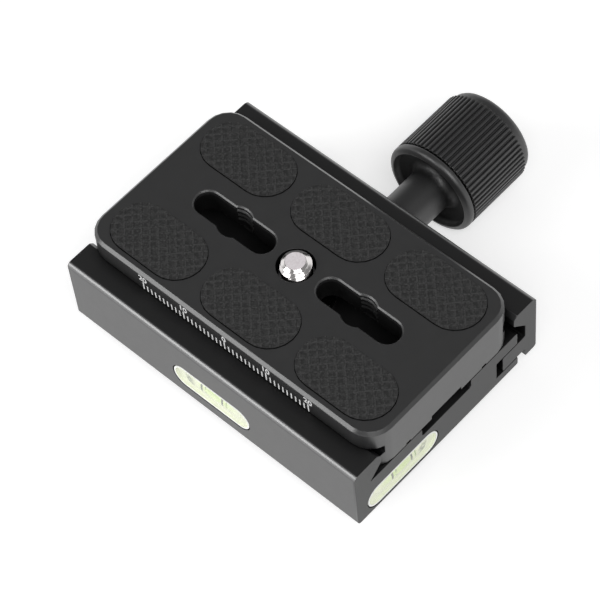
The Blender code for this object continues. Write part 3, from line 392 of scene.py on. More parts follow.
def slot_walls(nodes):
    """One down in the plate's slots and holes, where painted shade makes the black darker and duller."""
    place = nodes.axes(nodes.place())
    below = nodes.zone(place[2], PLATE_TOP, SLOT_DEPTH_ZONE)
    inner = nodes.step(nodes.away(place[1], CENTRE_Y), *SLOT_REACH_ACROSS)
    middle = nodes.step(nodes.math("ABSOLUTE", place[0]), *SLOT_REACH_ALONG)
    return nodes.math("MULTIPLY", nodes.math("MULTIPLY", below, inner), middle, clamp=True)


def long_side_chamfers(nodes):
    """One on the plate's sloped upper edges that face the front or the back."""
    normal = nodes.axes(nodes.add("ShaderNodeNewGeometry").outputs["Normal"])
    sloped = nodes.math("MULTIPLY", nodes.step(normal[2], 0.25, 0.45), nodes.step(normal[2], 0.97, 0.9))
    place = nodes.axes(nodes.place())
    outer = nodes.zone(nodes.away(place[1], CENTRE_Y), PLATE_HALF_WIDTH, CHAMFER_SIDE_ZONE)
    near_top = nodes.zone(place[2], PLATE_TOP, CHAMFER_DEPTH_ZONE)
    return nodes.math("MULTIPLY", nodes.math("MULTIPLY", sloped, outer), near_top, clamp=True)


def bright_metal(name, colour, roughness):
    """Plated, drawn or machined metal with faint wear in its shine."""
    nodes = Shader(name)
    lines = nodes.noise(1.5, detail=4.0, stretch=(1.0, 1.0, 8.0))
    shade = nodes.mix(lines, tuple(c * 0.88 for c in colour) + (1.0,), tuple(colour) + (1.0,))
    rough = nodes.blend(lines, roughness * 0.7, roughness * 1.3)
    soft = nodes.soft_edges(0.06 * MM)
    return nodes.finish(Base_Color=shade, Roughness=rough, Metallic=1.0, Normal=soft)


def weave(nodes):
    """One on fine lines between the raised ones, set diagonally like them."""
    place = nodes.axes(nodes.place())
    lines = 0.0
    for sign in (1.0, -1.0):
        along = nodes.math("ADD", place[0], nodes.math("MULTIPLY", place[1], sign))
        share = nodes.math("DIVIDE", along, PAD_WEAVE_PITCH * math.sqrt(2))
        offset = nodes.math("ABSOLUTE", nodes.math("SUBTRACT", nodes.math("FRACT", share), 0.5))
        line = nodes.step(offset, PAD_WEAVE_WIDTH, PAD_WEAVE_WIDTH * 0.3)
        lines = nodes.math("MAXIMUM", lines, line)
    return lines


def rubber(name):
    """Matt black rubber with a fine weave between the raised lines, dusty grey on the lines, and painted
    shade on its side walls.
    """
    nodes = Shader(name)
    height = nodes.axes(nodes.place())[2]
    raised = nodes.step(height, 0.02 * MM, PAD_LINE_HEIGHT * 0.9)
    # Painted shade: the side walls below the top are darkened
    walls = nodes.step(height, -0.01 * MM, -0.06 * MM)
    speckle = nodes.noise(PAD_SPECKS_PER_MM, detail=3.0)
    patches = nodes.noise(PAD_SPECKS_PER_MM / 2, detail=1.0)
    worn = nodes.math("MULTIPLY", raised, nodes.step(speckle, 0.36, 0.62))
    threads = nodes.math("MULTIPLY", weave(nodes), nodes.step(patches, 0.38, 0.60))
    colour = nodes.mix(nodes.step(patches, 0.35, 0.65), grey(PAD_DARK, 1.0), grey(PAD_LIGHT, 1.0))
    colour = nodes.mix(threads, colour, grey(PAD_THREAD, 1.0))
    colour = nodes.mix(nodes.step(speckle, 0.56, 0.74), colour, grey(PAD_SPECK, 1.0))
    colour = nodes.mix(worn, colour, grey(PAD_WORN, 1.0))
    colour = nodes.mix(walls, colour, grey(PAD_WALL_SHADE, 1.0))
    relief = nodes.bump(speckle, 0.4, 0.06 * MM)
    relief = nodes.bump(threads, 0.3, 0.05 * MM, relief)
    return nodes.finish(Base_Color=colour, Roughness=0.82, Normal=relief, IOR=1.4)


def clear_acrylic(name):
    """Clear moulded acrylic: it lets light straight through, palely tinted, and mirrors by its angle."""
    nodes = Shader(name)
    tint = nodes.mix(nodes.noise(0.8, detail=3.0), (0.97, 0.98, 0.93, 1.0), (0.99, 0.99, 0.97, 1.0))
    through = nodes.add("ShaderNodeBsdfTransparent", {"Color": tint})
    shine = nodes.add("ShaderNodeBsdfGlossy", {"Color": (1.0, 1.0, 1.0, 1.0), "Roughness": 0.06})
    slant = nodes.add("ShaderNodeLayerWeight", {"Blend": 0.5}).outputs["Facing"]
    mirrored = nodes.math("MULTIPLY", nodes.math("POWER", slant, 5.0), 0.96)
    mirrored = nodes.math("ADD", mirrored, 0.04)
    both = nodes.add("ShaderNodeMixShader", {0: mirrored, 1: through.outputs[0], 2: shine.outputs[0]})
    nodes.tree.links.new(both.outputs[0], nodes.tree.nodes["Material Output"].inputs["Surface"])
    return nodes.material


def paint(name):
    """White paint rubbed into the engraving, a little uneven."""
    nodes = Shader(name)
    patches = nodes.noise(6.0, detail=3.0)
    colour = nodes.mix(patches, (0.66, 0.66, 0.66, 1.0), (0.86, 0.86, 0.86, 1.0))
    return nodes.finish(Base_Color=colour, Roughness=0.55)


def moulded(name, low, high, roughness):
    """A moulded material or a liquid whose colour drifts between two shades."""
    nodes = Shader(name)
    colour = nodes.mix(nodes.noise(0.8, detail=3.0), (*low, 1.0), (*high, 1.0))
    return nodes.finish(Base_Color=colour, Roughness=roughness)


def add_piece(name, bm, material, body, smooth_deg=None):
    """Makes an object from a mesh in the part's own frame and lets it ride on a body of the model."""
    bmesh.ops.recalc_face_normals(bm, faces=bm.faces)
    mesh = bpy.data.meshes.new(name)
    bm.to_mesh(mesh)
    bm.free()
    if smooth_deg is not None:
        mesh.shade_smooth()
        mesh.set_sharp_from_angle(angle=math.radians(smooth_deg))
    return add_mesh(name, mesh, material, body)


def add_mesh(name, mesh, material, body, place=(0.0, 0.0, 0.0)):
    """Puts a finished mesh in place and lets it ride on a body of the model."""
    made = bpy.data.objects.new(name, mesh)
    made.location = place
    bpy.context.scene.collection.objects.link(made)
    if not mesh.materials:
        mesh.materials.append(material)
    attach(made, body)
    return made


def stadium(length, width, steps=14):
    """Points of a slot shape round the origin, along the first coordinate."""
    radius = width / 2
    points = []
    for centre, start in ((length / 2 - radius, -90.0), (radius - length / 2, 90.0)):
        for step in range(steps + 1):
            angle = math.radians(start + 180.0 * step / steps)
            points.append(Vector((centre + radius * math.cos(angle), radius * math.sin(angle))))
    return points


def prism(outlines, levels, to_space, bm=None):
    """A closed solid through outlines with equal counts of points, each at its own level."""
    bm = bm or bmesh.new()
    rings = [
        [bm.verts.new(to_space(point.x, point.y, level)) for point in outline]
        for outline, level in zip(outlines, levels)
    ]
    bm.faces.new(rings[0])
    bm.faces.new(list(reversed(rings[-1])))
    for lower, upper in zip(rings, rings[1:]):
        for index in range(len(lower)):
            following = (index + 1) % len(lower)
            bm.faces.new((lower[index], upper[index], upper[following], lower[following]))
    return bm


def upright(a, b, along):
    """A place from an outline's two coordinates and a level, for a prism that stands along Z."""
    return Vector((a, b, along))


def block(bm, low, high):
    """Adds a closed box between two corners."""
    corners = ((low[0], low[1]), (high[0], low[1]), (high[0], high[1]), (low[0], high[1]))
    outline = [Vector(corner) for corner in corners]
    return prism([outline, outline], (low[2], high[2]), upright, bm)


def apply_boolean(target, tool, operation):
    """Runs one Boolean on a mesh object and removes the tool."""
    step = target.modifiers.new("cut", "BOOLEAN")
    step.operation = operation
    step.solver = "EXACT"
    step.object = tool
    bpy.context.view_layer.update()
    shape = target.evaluated_get(bpy.context.evaluated_depsgraph_get())
    target.data = bpy.data.meshes.new_from_object(shape)
    target.modifiers.clear()
    bpy.data.objects.remove(tool)


def lattice_mesh(length, width, thickness):
    """One pad: a stadium block whose top carries a diagonal grid of raised lines."""
    reach = (length + width) / 2 / math.sqrt(2) + PAD_LINE_PITCH
    half = PAD_LINE_WIDTH / 2
    knots = []
    count = math.ceil(reach / PAD_LINE_PITCH)
    for line in range(-count, count + 1):
        middle = line * PAD_LINE_PITCH
        knots += [
            (middle - half - PAD_LINE_SLOPE, 0.0),
            (middle - half, 1.0),
            (middle + half, 1.0),
            (middle + half + PAD_LINE_SLOPE, 0.0),
        ]
    bm = bmesh.new()
    turn = Matrix.Rotation(math.radians(45.0), 4, "Z")
    rows = []
    for a, lift_a in knots:
        row = []
        for b, lift_b in knots:
            lift = max(lift_a, lift_b) * PAD_LINE_HEIGHT
            row.append(bm.verts.new(turn @ Vector((a, b, lift))))
        rows.append(row)
    for lower, upper in zip(rows, rows[1:]):
        for index in range(len(knots) - 1):
            bm.faces.new((lower[index], upper[index], upper[index + 1], lower[index + 1]))
    rim = [edge for edge in bm.edges if edge.is_boundary]
    walls = bmesh.ops.extrude_edge_only(bm, edges=rim)["geom"]
    foot = [item for item in walls if isinstance(item, bmesh.types.BMVert)]
    for vert in foot:
        vert.co.z = -thickness
    bmesh.ops.contextual_create(bm, geom=[edge for edge in bm.edges if edge.is_boundary])
    bmesh.ops.recalc_face_normals(bm, faces=bm.faces)
    mesh = bpy.data.meshes.new("pad_surface")
    bm.to_mesh(mesh)
    bm.free()
    grid = bpy.data.objects.new("pad_surface", mesh)
    bpy.context.scene.collection.objects.link(grid)

    trim = prism([stadium(length, width)] * 2, (-2 * thickness, thickness), upright)
    bmesh.ops.recalc_face_normals(trim, faces=trim.faces)
    trim_mesh = bpy.data.meshes.new("pad_trim")
    trim.to_mesh(trim_mesh)
    trim.free()
    tool = bpy.data.objects.new("pad_trim", trim_mesh)
    bpy.context.scene.collection.objects.link(tool)
    apply_boolean(grid, tool, "INTERSECT")
    surface = grid.data
    bpy.data.objects.remove(grid)
    return surface


def make_pads(material):
    """The six pads share one surface, set in each pad's place."""
    names = [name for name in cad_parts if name.startswith("pad_")]
    low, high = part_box(names[0])
    thickness = high.z - low.z
    length = high.x - low.x + 2 * PAD_BORDER
    width = high.y - low.y + 2 * PAD_BORDER
    surface = lattice_mesh(length, width, thickness - PAD_FLOOR_DROP)
    surface.materials.clear()
    surface.materials.append(material)
    for name in names:
        low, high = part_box(name)
        middle = (low + high) / 2
        place = (middle.x - PAD_SHIFT, middle.y + PAD_SHIFT, high.z - PAD_FLOOR_DROP)
        piece = add_mesh(name + "_surface", surface, material, "plate", place)
        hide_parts(name)


def make_scale(material):
    """Graduations and their numbers, filled with white paint, on the plate's front side face."""
    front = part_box("camera_plate")[0].y
    foot = JAW_TOP + SCALE_ABOVE_JAW + TICK_FOOT
    bm = bmesh.new()
    for index in range(-SCALE_HALF_COUNT, SCALE_HALF_COUNT + 1):
        length = TICK_LONG if index % SCALE_LABEL_STEP == 0 else TICK_SHORT
        middle = index * SCALE_STEP
        block(
            bm,
            (middle - TICK_WIDTH / 2, front - TICK_PROUD, foot),
            (middle + TICK_WIDTH / 2, front + TICK_PROUD, foot + length),
        )
    add_piece("scale_ticks", bm, material, "plate")
    for index in range(-SCALE_HALF_COUNT, SCALE_HALF_COUNT + 1, SCALE_LABEL_STEP):
        words = bpy.data.curves.new(f"scale_number_{index}", "FONT")
        words.body = str(abs(index))
        words.size = DIGIT_HEIGHT / DIGIT_SHARE_OF_SIZE
        words.align_x = "CENTER"
        words.extrude = TICK_PROUD
        words.offset = DIGIT_THICKENING
        carrier = bpy.data.objects.new(words.name, words)
        bpy.context.scene.collection.objects.link(carrier)
        bpy.context.view_layer.update()
        shape = carrier.evaluated_get(bpy.context.evaluated_depsgraph_get())
        mesh = bpy.data.meshes.new_from_object(shape)
        bpy.data.objects.remove(carrier)
        mesh.transform(Matrix.Rotation(math.radians(90.0), 4, "X"))
        mesh.materials.clear()
        name = f"scale_number_{'left' if index < 0 else 'right'}_{abs(index)}"
        place = (index * SCALE_STEP, front, foot + DIGIT_FOOT)
        add_mesh(name, mesh, material, "plate", place)


def thread_radius(along, turn):
    """Radius of a V thread with narrow flat crests and roots at a height and a turn in radians."""
    phase = (along / THREAD_PITCH - turn / (2 * math.pi)) % 1.0
    share = abs(phase * 2 - 1)
    share = min(max((share - 0.1) / 0.8, 0.0), 1.0)
    return THREAD_ROOT + (THREAD_CREST - THREAD_ROOT) * share


def turned_surface(bm, middle, rows):
    """Closes a turned shape. Each row is its radii round the axis and a height; a single zero is a tip."""
    rings = []
    for radii, height in rows:
        ring = []
        for side, radius in enumerate(radii):
            angle = 2 * math.pi * side / THREAD_SIDES
            across = middle.x + radius * math.cos(angle)
            deep = middle.y + radius * math.sin(angle)
            ring.append(bm.verts.new((across, deep, height)))
        rings.append(ring)
    for lower, upper in zip(rings, rings[1:]):
        for side in range(THREAD_SIDES):
            following = (side + 1) % THREAD_SIDES
            corners = [lower[side % len(lower)], upper[side % len(upper)]]
            if len(upper) > 1:
                corners.append(upper[following])
            if len(lower) > 1:
                corners.append(lower[following])
            bm.faces.new(corners)


def make_camera_screw(material, tip_material):
    """The captive screw with its thread cut, in place of the plain solid."""
    low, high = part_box("camera_screw")
    middle = (low + high) / 2
    tip = high.z - TIP_SINK
    head_low = low.z
    head_top = head_low + HEAD_THICKNESS
    shank_top = PLATE_TOP - SHANK_TOP_DEPTH
    neck_top = shank_top + NECK_LENGTH
    plain = [
        (0.0, head_low),
        (HEAD_RADIUS - HEAD_EDGE, head_low),
        (HEAD_RADIUS, head_low + HEAD_EDGE),
        (HEAD_RADIUS, head_top - HEAD_EDGE),
        (HEAD_RADIUS - HEAD_EDGE, head_top),
        (SHANK_RADIUS, head_top),
        (SHANK_RADIUS, shank_top),
        (NECK_RADIUS, shank_top),
        (NECK_RADIUS, neck_top),
    ]
    rows = [([radius] * (THREAD_SIDES if radius else 1), along) for radius, along in plain]
    row_count = math.ceil((tip - neck_top) / THREAD_PITCH * THREAD_ROWS_PER_TURN)
    for row in range(row_count):
        along = neck_top + (tip - neck_top) * row / row_count
        rise = min((along - neck_top) / (0.35 * THREAD_PITCH), 1.0)
        cone = TIP_RADIUS + (tip - along) * TIP_SLOPE
        radii = []
        for side in range(THREAD_SIDES):
            turn = 2 * math.pi * (side / THREAD_SIDES + THREAD_PHASE_TURNS)
            cut = THREAD_ROOT + (thread_radius(along - tip, turn) - THREAD_ROOT) * rise
            radii.append(min(cut, cone))
        rows.append((radii, along))
    rows.append(([TIP_RADIUS] * THREAD_SIDES, tip - TIP_FACE))
    rows.append(([TIP_RADIUS - TIP_FACE] * THREAD_SIDES, tip - TIP_FACE))
    rows.append(([0.0], tip - TIP_FACE))
    bm = bmesh.new()
    turned_surface(bm, middle, rows)
    piece = add_piece("camera_screw_threaded", bm, material, "screw", smooth_deg=30.0)
    slot = bmesh.new()
    block(
        slot,
        (middle.x - COIN_SLOT_REACH, middle.y - COIN_SLOT_WIDTH / 2, head_low - MM),
        (middle.x + COIN_SLOT_REACH, middle.y + COIN_SLOT_WIDTH / 2, head_low + COIN_SLOT_DEPTH),
    )
    bmesh.ops.recalc_face_normals(slot, faces=slot.faces)
    mesh = bpy.data.meshes.new("coin_slot")
    slot.to_mesh(mesh)
    slot.free()
    tool = bpy.data.objects.new("coin_slot", mesh)
    bpy.context.scene.collection.objects.link(tool)
    apply_boolean(piece, tool, "DIFFERENCE")
    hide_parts("camera_screw")

    cap = bmesh.new()
    cap_low = tip - 2.5 * TIP_FACE
    rim = [TIP_RADIUS - 0.5 * TIP_FACE] * THREAD_SIDES
    inner = [TIP_RADIUS - 2.5 * TIP_FACE] * THREAD_SIDES
    cap_rows = [([0.0], cap_low), (rim, cap_low), (rim, tip - TIP_FACE), (inner, tip), ([0.0], tip)]
    turned_surface(cap, middle, cap_rows)
    face = add_piece("camera_screw_tip", cap, tip_material, "screw", smooth_deg=20.0)
    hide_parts("camera_screw")


def turned_tip(name):
    """The turned end face of the screw: rather rough, with faint rings; its pale, only partly metallic face
    is partly a painted highlight.
    """
    nodes = Shader(name)
    rings = nodes.noise(2.2, detail=2.0, stretch=(1.0, 1.0, 0.2))
    # Partly painted highlight: a pale colour that stays bright under any lamp, where steel would mirror its
    # surroundings
    colour = nodes.mix(nodes.step(rings, 0.3, 0.7), (0.82, 0.76, 0.78, 1.0), (0.92, 0.87, 0.89, 1.0))
    relief = nodes.bump(rings, 0.15, 0.02 * MM)
    return nodes.finish(Base_Color=colour, Roughness=0.5, Metallic=0.35, Normal=relief)


def inner_thread(name, centre, wall, depth, low, high, arcs, material, body):
    """A raised V thread on the inside of a round hole, over the given arcs in degrees."""
    bm = bmesh.new()
    half = THREAD_PITCH * 0.36
    turns = math.ceil((high - low) / THREAD_PITCH) + 1
    for start, end in arcs:
        steps = max(2, math.ceil((end - start) / THREAD_STEP_DEG))
        for turn in range(-1, turns):
            rings = []
            for step in range(steps + 1):
                degrees = start + (end - start) * step / steps
                along = low + THREAD_PITCH * (turn + degrees / 360.0)
                if along - half < low or along + half > high:
                    if rings:
                        break
                    continue
                angle = math.radians(degrees)
                outward = Vector((math.cos(angle), math.sin(angle), 0.0))
                middle = Vector((centre.x, centre.y, along))
                root = middle + outward * (wall + THREAD_ROOTED)
                crest = middle + outward * (wall - depth)
                section = ((root, -half), (crest, -half * 0.15), (crest, half * 0.15), (root, half))
                rings.append([bm.verts.new(spot + Vector((0.0, 0.0, rise))) for spot, rise in section])
            if len(rings) < 2:
                for ring in rings:
                    for vert in ring:
                        bm.verts.remove(vert)
                continue
            for lower, upper in zip(rings, rings[1:]):
                for corner in range(4):
                    following = (corner + 1) % 4
                    bm.faces.new((lower[corner], upper[corner], upper[following], lower[following]))
            bm.faces.new(rings[0])
            bm.faces.new(list(reversed(rings[-1])))
    return add_piece(name, bm, material, body, smooth_deg=30.0)


def make_threads(plate_material, brass_material):
    """Threads in the round eye of each slot and in the tripod bushing."""
    for word, side in (("left", -1), ("right", 1)):
        centre = Vector((side * EYE_OFFSET, CENTRE_Y, 0.0))
        inner_thread(
            f"slot_eye_thread_{word}",
            centre,
            EYE_RADIUS,
            EYE_THREAD_DEPTH,
            PLATE_TOP - EYE_THREAD_START,
            PLATE_TOP - EYE_THREAD_END,
            EYE_THREAD_ARCS,
            plate_material,
            "plate",
        )
    low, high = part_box("tripod_bushing")
    inner_thread(
        "bushing_thread",
        (low + high) / 2,
        BUSHING_RADIUS,
        BUSHING_THREAD_DEPTH,
        low.z + BUSHING_LEAD,
        high.z,
        ((0.0, 360.0),),
        brass_material,
        "base",
    )


def make_springs(material):
    """The return springs as in the solids, copied in place with the spring finish."""
    for word in ("left", "right"):
        name = "return_spring_" + word
        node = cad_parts[name]
        mesh = node.data.copy()
        mesh.transform(node.matrix_world)
        mesh.materials.clear()
        mesh.materials.append(material)
        coil = bpy.data.objects.new(name + "_coil", mesh)
        bpy.context.scene.collection.objects.link(coil)
        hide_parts(name)
        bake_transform(coil)


def level_frame(name):
    """How a level lies: centre of its outer face, the ways its length and depth point, and its sizes."""
    low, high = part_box(name)
    middle = (low + high) / 2
    size = high - low
    if name.startswith("front"):
        face = Vector((middle.x, low.y, middle.z))
        return face, Vector((1, 0, 0)), Vector((0, 1, 0)), (size.x, size.z, size.y)
    face = Vector((high.x, middle.y, middle.z))
    return face, Vector((0, 1, 0)), Vector((-1, 0, 0)), (size.y, size.z, size.x)


def level_finish(name, face, inward, toward_bright, toward_dark_patch, green):
    """Pale cream moulding, yellow-green where the fluid shows, with painted highlights in lighter patches
    and a darker grey-green patch near an end.
    """
    nodes = Shader(name)
    place = nodes.place()
    centre = face + inward * (LEVEL_CUP_DEPTH - LEVEL_TUBE_BULGE / 2)

    def near(spot, reach, core):
        distance = nodes.add("ShaderNodeVectorMath", {0: place, 1: spot}, operation="DISTANCE")
        return nodes.step(distance.outputs["Value"], reach, core)

    colour = nodes.mix(nodes.noise(0.7, detail=3.0), LEVEL_CREAM, LEVEL_CREAM_LIGHT)
    upper = nodes.step(nodes.axes(place)[2], centre.z - 0.9 * MM, centre.z + 0.5 * MM)
    middle = near(centre + toward_bright * 0.9 * MM, LEVEL_TUBE_LENGTH * 0.45, LEVEL_TUBE_LENGTH * 0.10)
    middle = nodes.math("MULTIPLY", nodes.math("MULTIPLY", middle, upper), green)
    colour = nodes.mix(middle, colour, LEVEL_GREEN)
    # Painted highlights: lighter patches scattered over the level
    patches = nodes.math("MULTIPLY", nodes.step(nodes.noise(1.1, detail=3.0), 0.52, 0.66), 0.5)
    colour = nodes.mix(patches, colour, LEVEL_HIGHLIGHT_PATCH)
    # A darker grey-green patch near one end of the level
    dark_patch_centre = centre + toward_dark_patch * LEVEL_DARK_PATCH_OFFSET
    blot = near(dark_patch_centre, LEVEL_DARK_PATCH_RADIUS, LEVEL_DARK_PATCH_RADIUS * 0.3)
    blot = nodes.math("MULTIPLY", blot, nodes.step(nodes.noise(1.2, detail=2.0), 0.30, 0.55))
    colour = nodes.mix(nodes.math("MULTIPLY", blot, 0.85), colour, LEVEL_DARK_PATCH)
    offset = nodes.add("ShaderNodeVectorMath", {0: place, 1: face}, operation="SUBTRACT").outputs[0]
    depth = nodes.add("ShaderNodeVectorMath", {0: offset, 1: inward}, operation="DOT_PRODUCT")
    rim = nodes.step(depth.outputs["Value"], 0.06 * MM, 0.02 * MM)
    colour = nodes.mix(rim, colour, LEVEL_RIM)
    return nodes.finish(Base_Color=colour, Roughness=0.25)


def tube_skin(bm, to_space, stations, lift=0.0, arc=math.pi, lean=0.0):
    """Outer side of the flattened tube, over an arc, at stations of (place along, share of the radius)."""
    rings = []
    for along, share in stations:
        ring = []
        for side in range(LEVEL_TUBE_SIDES + 1):
            angle = lean - arc / 2 + arc * side / LEVEL_TUBE_SIDES
            across = (LEVEL_TUBE_RADIUS * share + lift) * math.sin(angle)
            outward = (LEVEL_TUBE_BULGE * share + lift) * math.cos(angle)
            ring.append(bm.verts.new(to_space(along, across, LEVEL_CUP_DEPTH - outward)))
        rings.append(ring)
    for lower, upper in zip(rings, rings[1:]):
        for side in range(len(lower) - 1):
            bm.faces.new((lower[side], upper[side], upper[side + 1], lower[side + 1]))


def make_level(word, materials):
    """A moulded cup with a clear window, and behind it the tube with its marks and its bubble."""
    node = word + "_level_vial"
    face, along, inward, (length, tall, deep) = level_frame(node)
    up = Vector((0, 0, 1))
    toward_end = along if word == "front" else -along

    def to_space(a, b, depth):
        return face + along * a + up * b + inward * depth

    cup_finish = level_finish(word + "_level_cup", face, inward, toward_end, -toward_end, 0.2)
    tube_finish = level_finish(word + "_level_tube", face, inward, toward_end, -toward_end, 0.8)
    outer = stadium(length, tall)
    inner = stadium(length - 2 * LEVEL_CUP_WALL, tall - 2 * LEVEL_CUP_WALL)
    bm = bmesh.new()
    levels = [(outer, 0.0), (outer, deep), (inner, LEVEL_CUP_DEPTH), (inner, 0.0)]
    rings = [
        [bm.verts.new(to_space(point.x, point.y, depth)) for point in outline]
        for outline, depth in levels
    ]
    count = len(outer)
    for lower, upper in ((rings[0], rings[1]), (rings[2], rings[3]), (rings[3], rings[0])):
        for index in range(count):
            following = (index + 1) % count
            bm.faces.new((lower[index], upper[index], upper[following], lower[following]))
    bm.faces.new(rings[1])
    bm.faces.new(rings[2])
    cup = add_piece(word + "_level_cup", bm, cup_finish, "base")
    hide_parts(node)

    shrink = LEVEL_CUP_WALL + 0.01 * MM
    clear = stadium(length - 2 * shrink, tall - 2 * shrink)
    pane = prism([clear, clear], (LEVEL_WINDOW_NEAR, LEVEL_WINDOW_FAR), to_space)
    window = add_piece(word + "_level_window", pane, materials["window"], "base")
    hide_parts(node)

    straight = LEVEL_TUBE_LENGTH / 2 - LEVEL_TUBE_RADIUS
    right_end = []
    for step in range(LEVEL_END_STEPS + 1):
        turn = math.pi / 2 * step / LEVEL_END_STEPS
        right_end.append((straight + LEVEL_TUBE_RADIUS * math.sin(turn), max(math.cos(turn), 0.01)))
    left_end = [(-place, share) for place, share in reversed(right_end)]
    tube = bmesh.new()
    tube_skin(tube, to_space, left_end + right_end)
    add_piece(word + "_level_tube", tube, tube_finish, "base", smooth_deg=60.0)

    mark_kinds = (("mark", LEVEL_MARK_WIDTH, 0.0), ("ghost", LEVEL_GHOST_WIDTH, LEVEL_GHOST_SHIFT))
    for kind, width, shift in mark_kinds:
        marks = bmesh.new()
        for offset in (-LEVEL_MARK_OFFSET + shift, LEVEL_MARK_OFFSET + shift):
            stations = [(offset - width / 2, 1.0), (offset + width / 2, 1.0)]
            arc = math.pi * LEVEL_MARK_SHARE
            tube_skin(marks, to_space, stations, LEVEL_MARK_LIFT, arc, LEVEL_MARK_LEAN)
        add_piece(f"{word}_level_{kind}s", marks, materials[kind], "base")

    bubble = bmesh.new()
    bmesh.ops.create_uvsphere(bubble, u_segments=32, v_segments=16, radius=1.0)
    middle = to_space(LEVEL_BUBBLE_SHIFT, LEVEL_BUBBLE_RISE, LEVEL_CUP_DEPTH - LEVEL_TUBE_BULGE)
    turn = Matrix((along, inward, up)).transposed().to_4x4()
    size = (LEVEL_BUBBLE_LENGTH, LEVEL_BUBBLE_THICKNESS, LEVEL_BUBBLE_WIDTH)
    stretch = Matrix.Diagonal((*(extent / 2 for extent in size), 1.0))
    bmesh.ops.transform(bubble, matrix=Matrix.Translation(middle) @ turn @ stretch, verts=bubble.verts)
    finish = materials["bubble"]
    add_piece(word + "_level_bubble", bubble, finish, "base", smooth_deg=60.0)


def smooth_curves(names):
    """Lets the small faces of rounded forms share their normals, so that they shade as one curve.

    A flat face weighs by its whole area, so it stays flat up to its edge and only the round part turns.
    The places of the corners aren't changed.
    """
    limit = math.cos(math.radians(SMOOTH_BELOW_DEG))
    for name in names:
        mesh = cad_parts[name].data
        spots = [tuple(round(c / SAME_SPOT) for c in vertex.co) for vertex in mesh.vertices]
        areas = {}
        meeting = {}
        for face in mesh.polygons:
            level = round(face.normal.dot(face.center) / SAME_PLANE)
            plane = (*(round(c, 2) for c in face.normal), level)
            areas[plane] = areas.get(plane, 0.0) + face.area / MM**2
            for index in face.vertices:
                meeting.setdefault(spots[index], {})[plane] = face.normal.copy()
        normals = [Vector((0.0, 0.0, 1.0))] * len(mesh.loops)
        for face in mesh.polygons:
            for loop in face.loop_indices:
                total = Vector((0.0, 0.0, 0.0))
                for plane, normal in meeting[spots[mesh.loops[loop].vertex_index]].items():
                    if normal.dot(face.normal) > limit:
                        total += normal * areas[plane] ** 2
                normals[loop] = total.normalized() if total.length > 0 else face.normal.copy()
        mesh.shade_smooth()
        mesh.normals_split_custom_set(normals)


def set_material(names, material):
    for name in names:
        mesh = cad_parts[name].data
        mesh.materials.clear()
        mesh.materials.append(material)


def make_floor():
    """A pale paper floor that keeps the part's shadow and turns to plain white away from the part."""
    bm = bmesh.new()
    half = FLOOR_SIZE / 2
    corners = [(-half, -half), (half, -half), (half, half), (-half, half)]
    bm.faces.new([bm.verts.new((a, b, -FLOOR_DROP)) for a, b in corners])
    mesh = bpy.data.meshes.new("floor")
    bm.to_mesh(mesh)
    bm.free()
    floor = bpy.data.objects.new("floor", mesh)
    bpy.context.scene.collection.objects.link(floor)
    nodes = Shader("floor_paper")
    distance = nodes.add("ShaderNodeVectorMath", {0: nodes.place()}, operation="LENGTH")
    far = nodes.step(distance.outputs["Value"], FLOOR_FADE_START, FLOOR_FADE_END)
    tone = nodes.mix(nodes.noise(0.02), grey(FLOOR_ALBEDO * 0.995, 1.0), grey(FLOOR_ALBEDO, 1.0))
    seen_tone = nodes.mix(far, tone, (0.0, 0.0, 0.0, 1.0))
    path = nodes.add("ShaderNodeLightPath")
    seen = nodes.math("ADD", path.outputs["Is Camera Ray"], path.outputs["Is Glossy Ray"], clamp=True)
    seen = nodes.math("ADD", seen, path.outputs["Is Transmission Ray"], clamp=True)
    lift = nodes.math("MULTIPLY", seen, nodes.blend(far, FLOOR_LIFT, 1.0))
    nodes.finish(
        Base_Color=nodes.mix(seen, tone, seen_tone),
        Roughness=0.9,
        Emission_Color=(1.0, 1.0, 1.0, 1.0),
        Emission_Strength=lift,
    )
    nodes.principled.inputs["Specular IOR Level"].default_value = 0.0
    mesh.materials.append(nodes.material)


def make_world():
    """Even soft light from above with a white horizon all round."""
    world = bpy.data.worlds.new("studio")
    bpy.context.scene.world = world
    world.use_nodes = True
    tree = world.node_tree
    background = tree.nodes["Background"]
    direction = tree.nodes.new("ShaderNodeTexCoord")
    parts = tree.nodes.new("ShaderNodeSeparateXYZ")
    level = tree.nodes.new("ShaderNodeMapRange")
    level.interpolation_type = "SMOOTHSTEP"
    level.inputs["From Min"].default_value = HORIZON_HEIGHT
    level.inputs["From Max"].default_value = 2 * HORIZON_HEIGHT
    level.inputs["To Min"].default_value = HORIZON_LEVEL
    level.inputs["To Max"].default_value = SKY_LEVEL
    tree.links.new(direction.outputs["Generated"], parts.inputs[0])
    tree.links.new(parts.outputs["Z"], level.inputs["Value"])
    tree.links.new(level.outputs["Result"], background.inputs["Strength"])
    background.inputs["Color"].default_value = (1.0, 1.0, 1.0, 1.0)


def add_softbox(name, azimuth_deg, elevation_deg, distance, width, height, radiance):
    """A soft panel that looks at the part. Azimuth 0 stands in front, at -Y, and 90 at +X."""
    light = bpy.data.lights.new(name, "AREA")
    light.shape = "RECTANGLE"
    light.size = width
    light.size_y = height
    light.energy = radiance * math.pi * width * height
    azimuth = math.radians(azimuth_deg)
    elevation = math.radians(elevation_deg)
    away = Vector(
        (
            math.sin(azimuth) * math.cos(elevation),
            -math.cos(azimuth) * math.cos(elevation),
            math.sin(elevation),
        )
    )
    lamp = bpy.data.objects.new(name, light)
    lamp.location = away * distance
    lamp.rotation_euler = away.to_track_quat("Z", "Y").to_euler()
    bpy.context.scene.collection.objects.link(lamp)


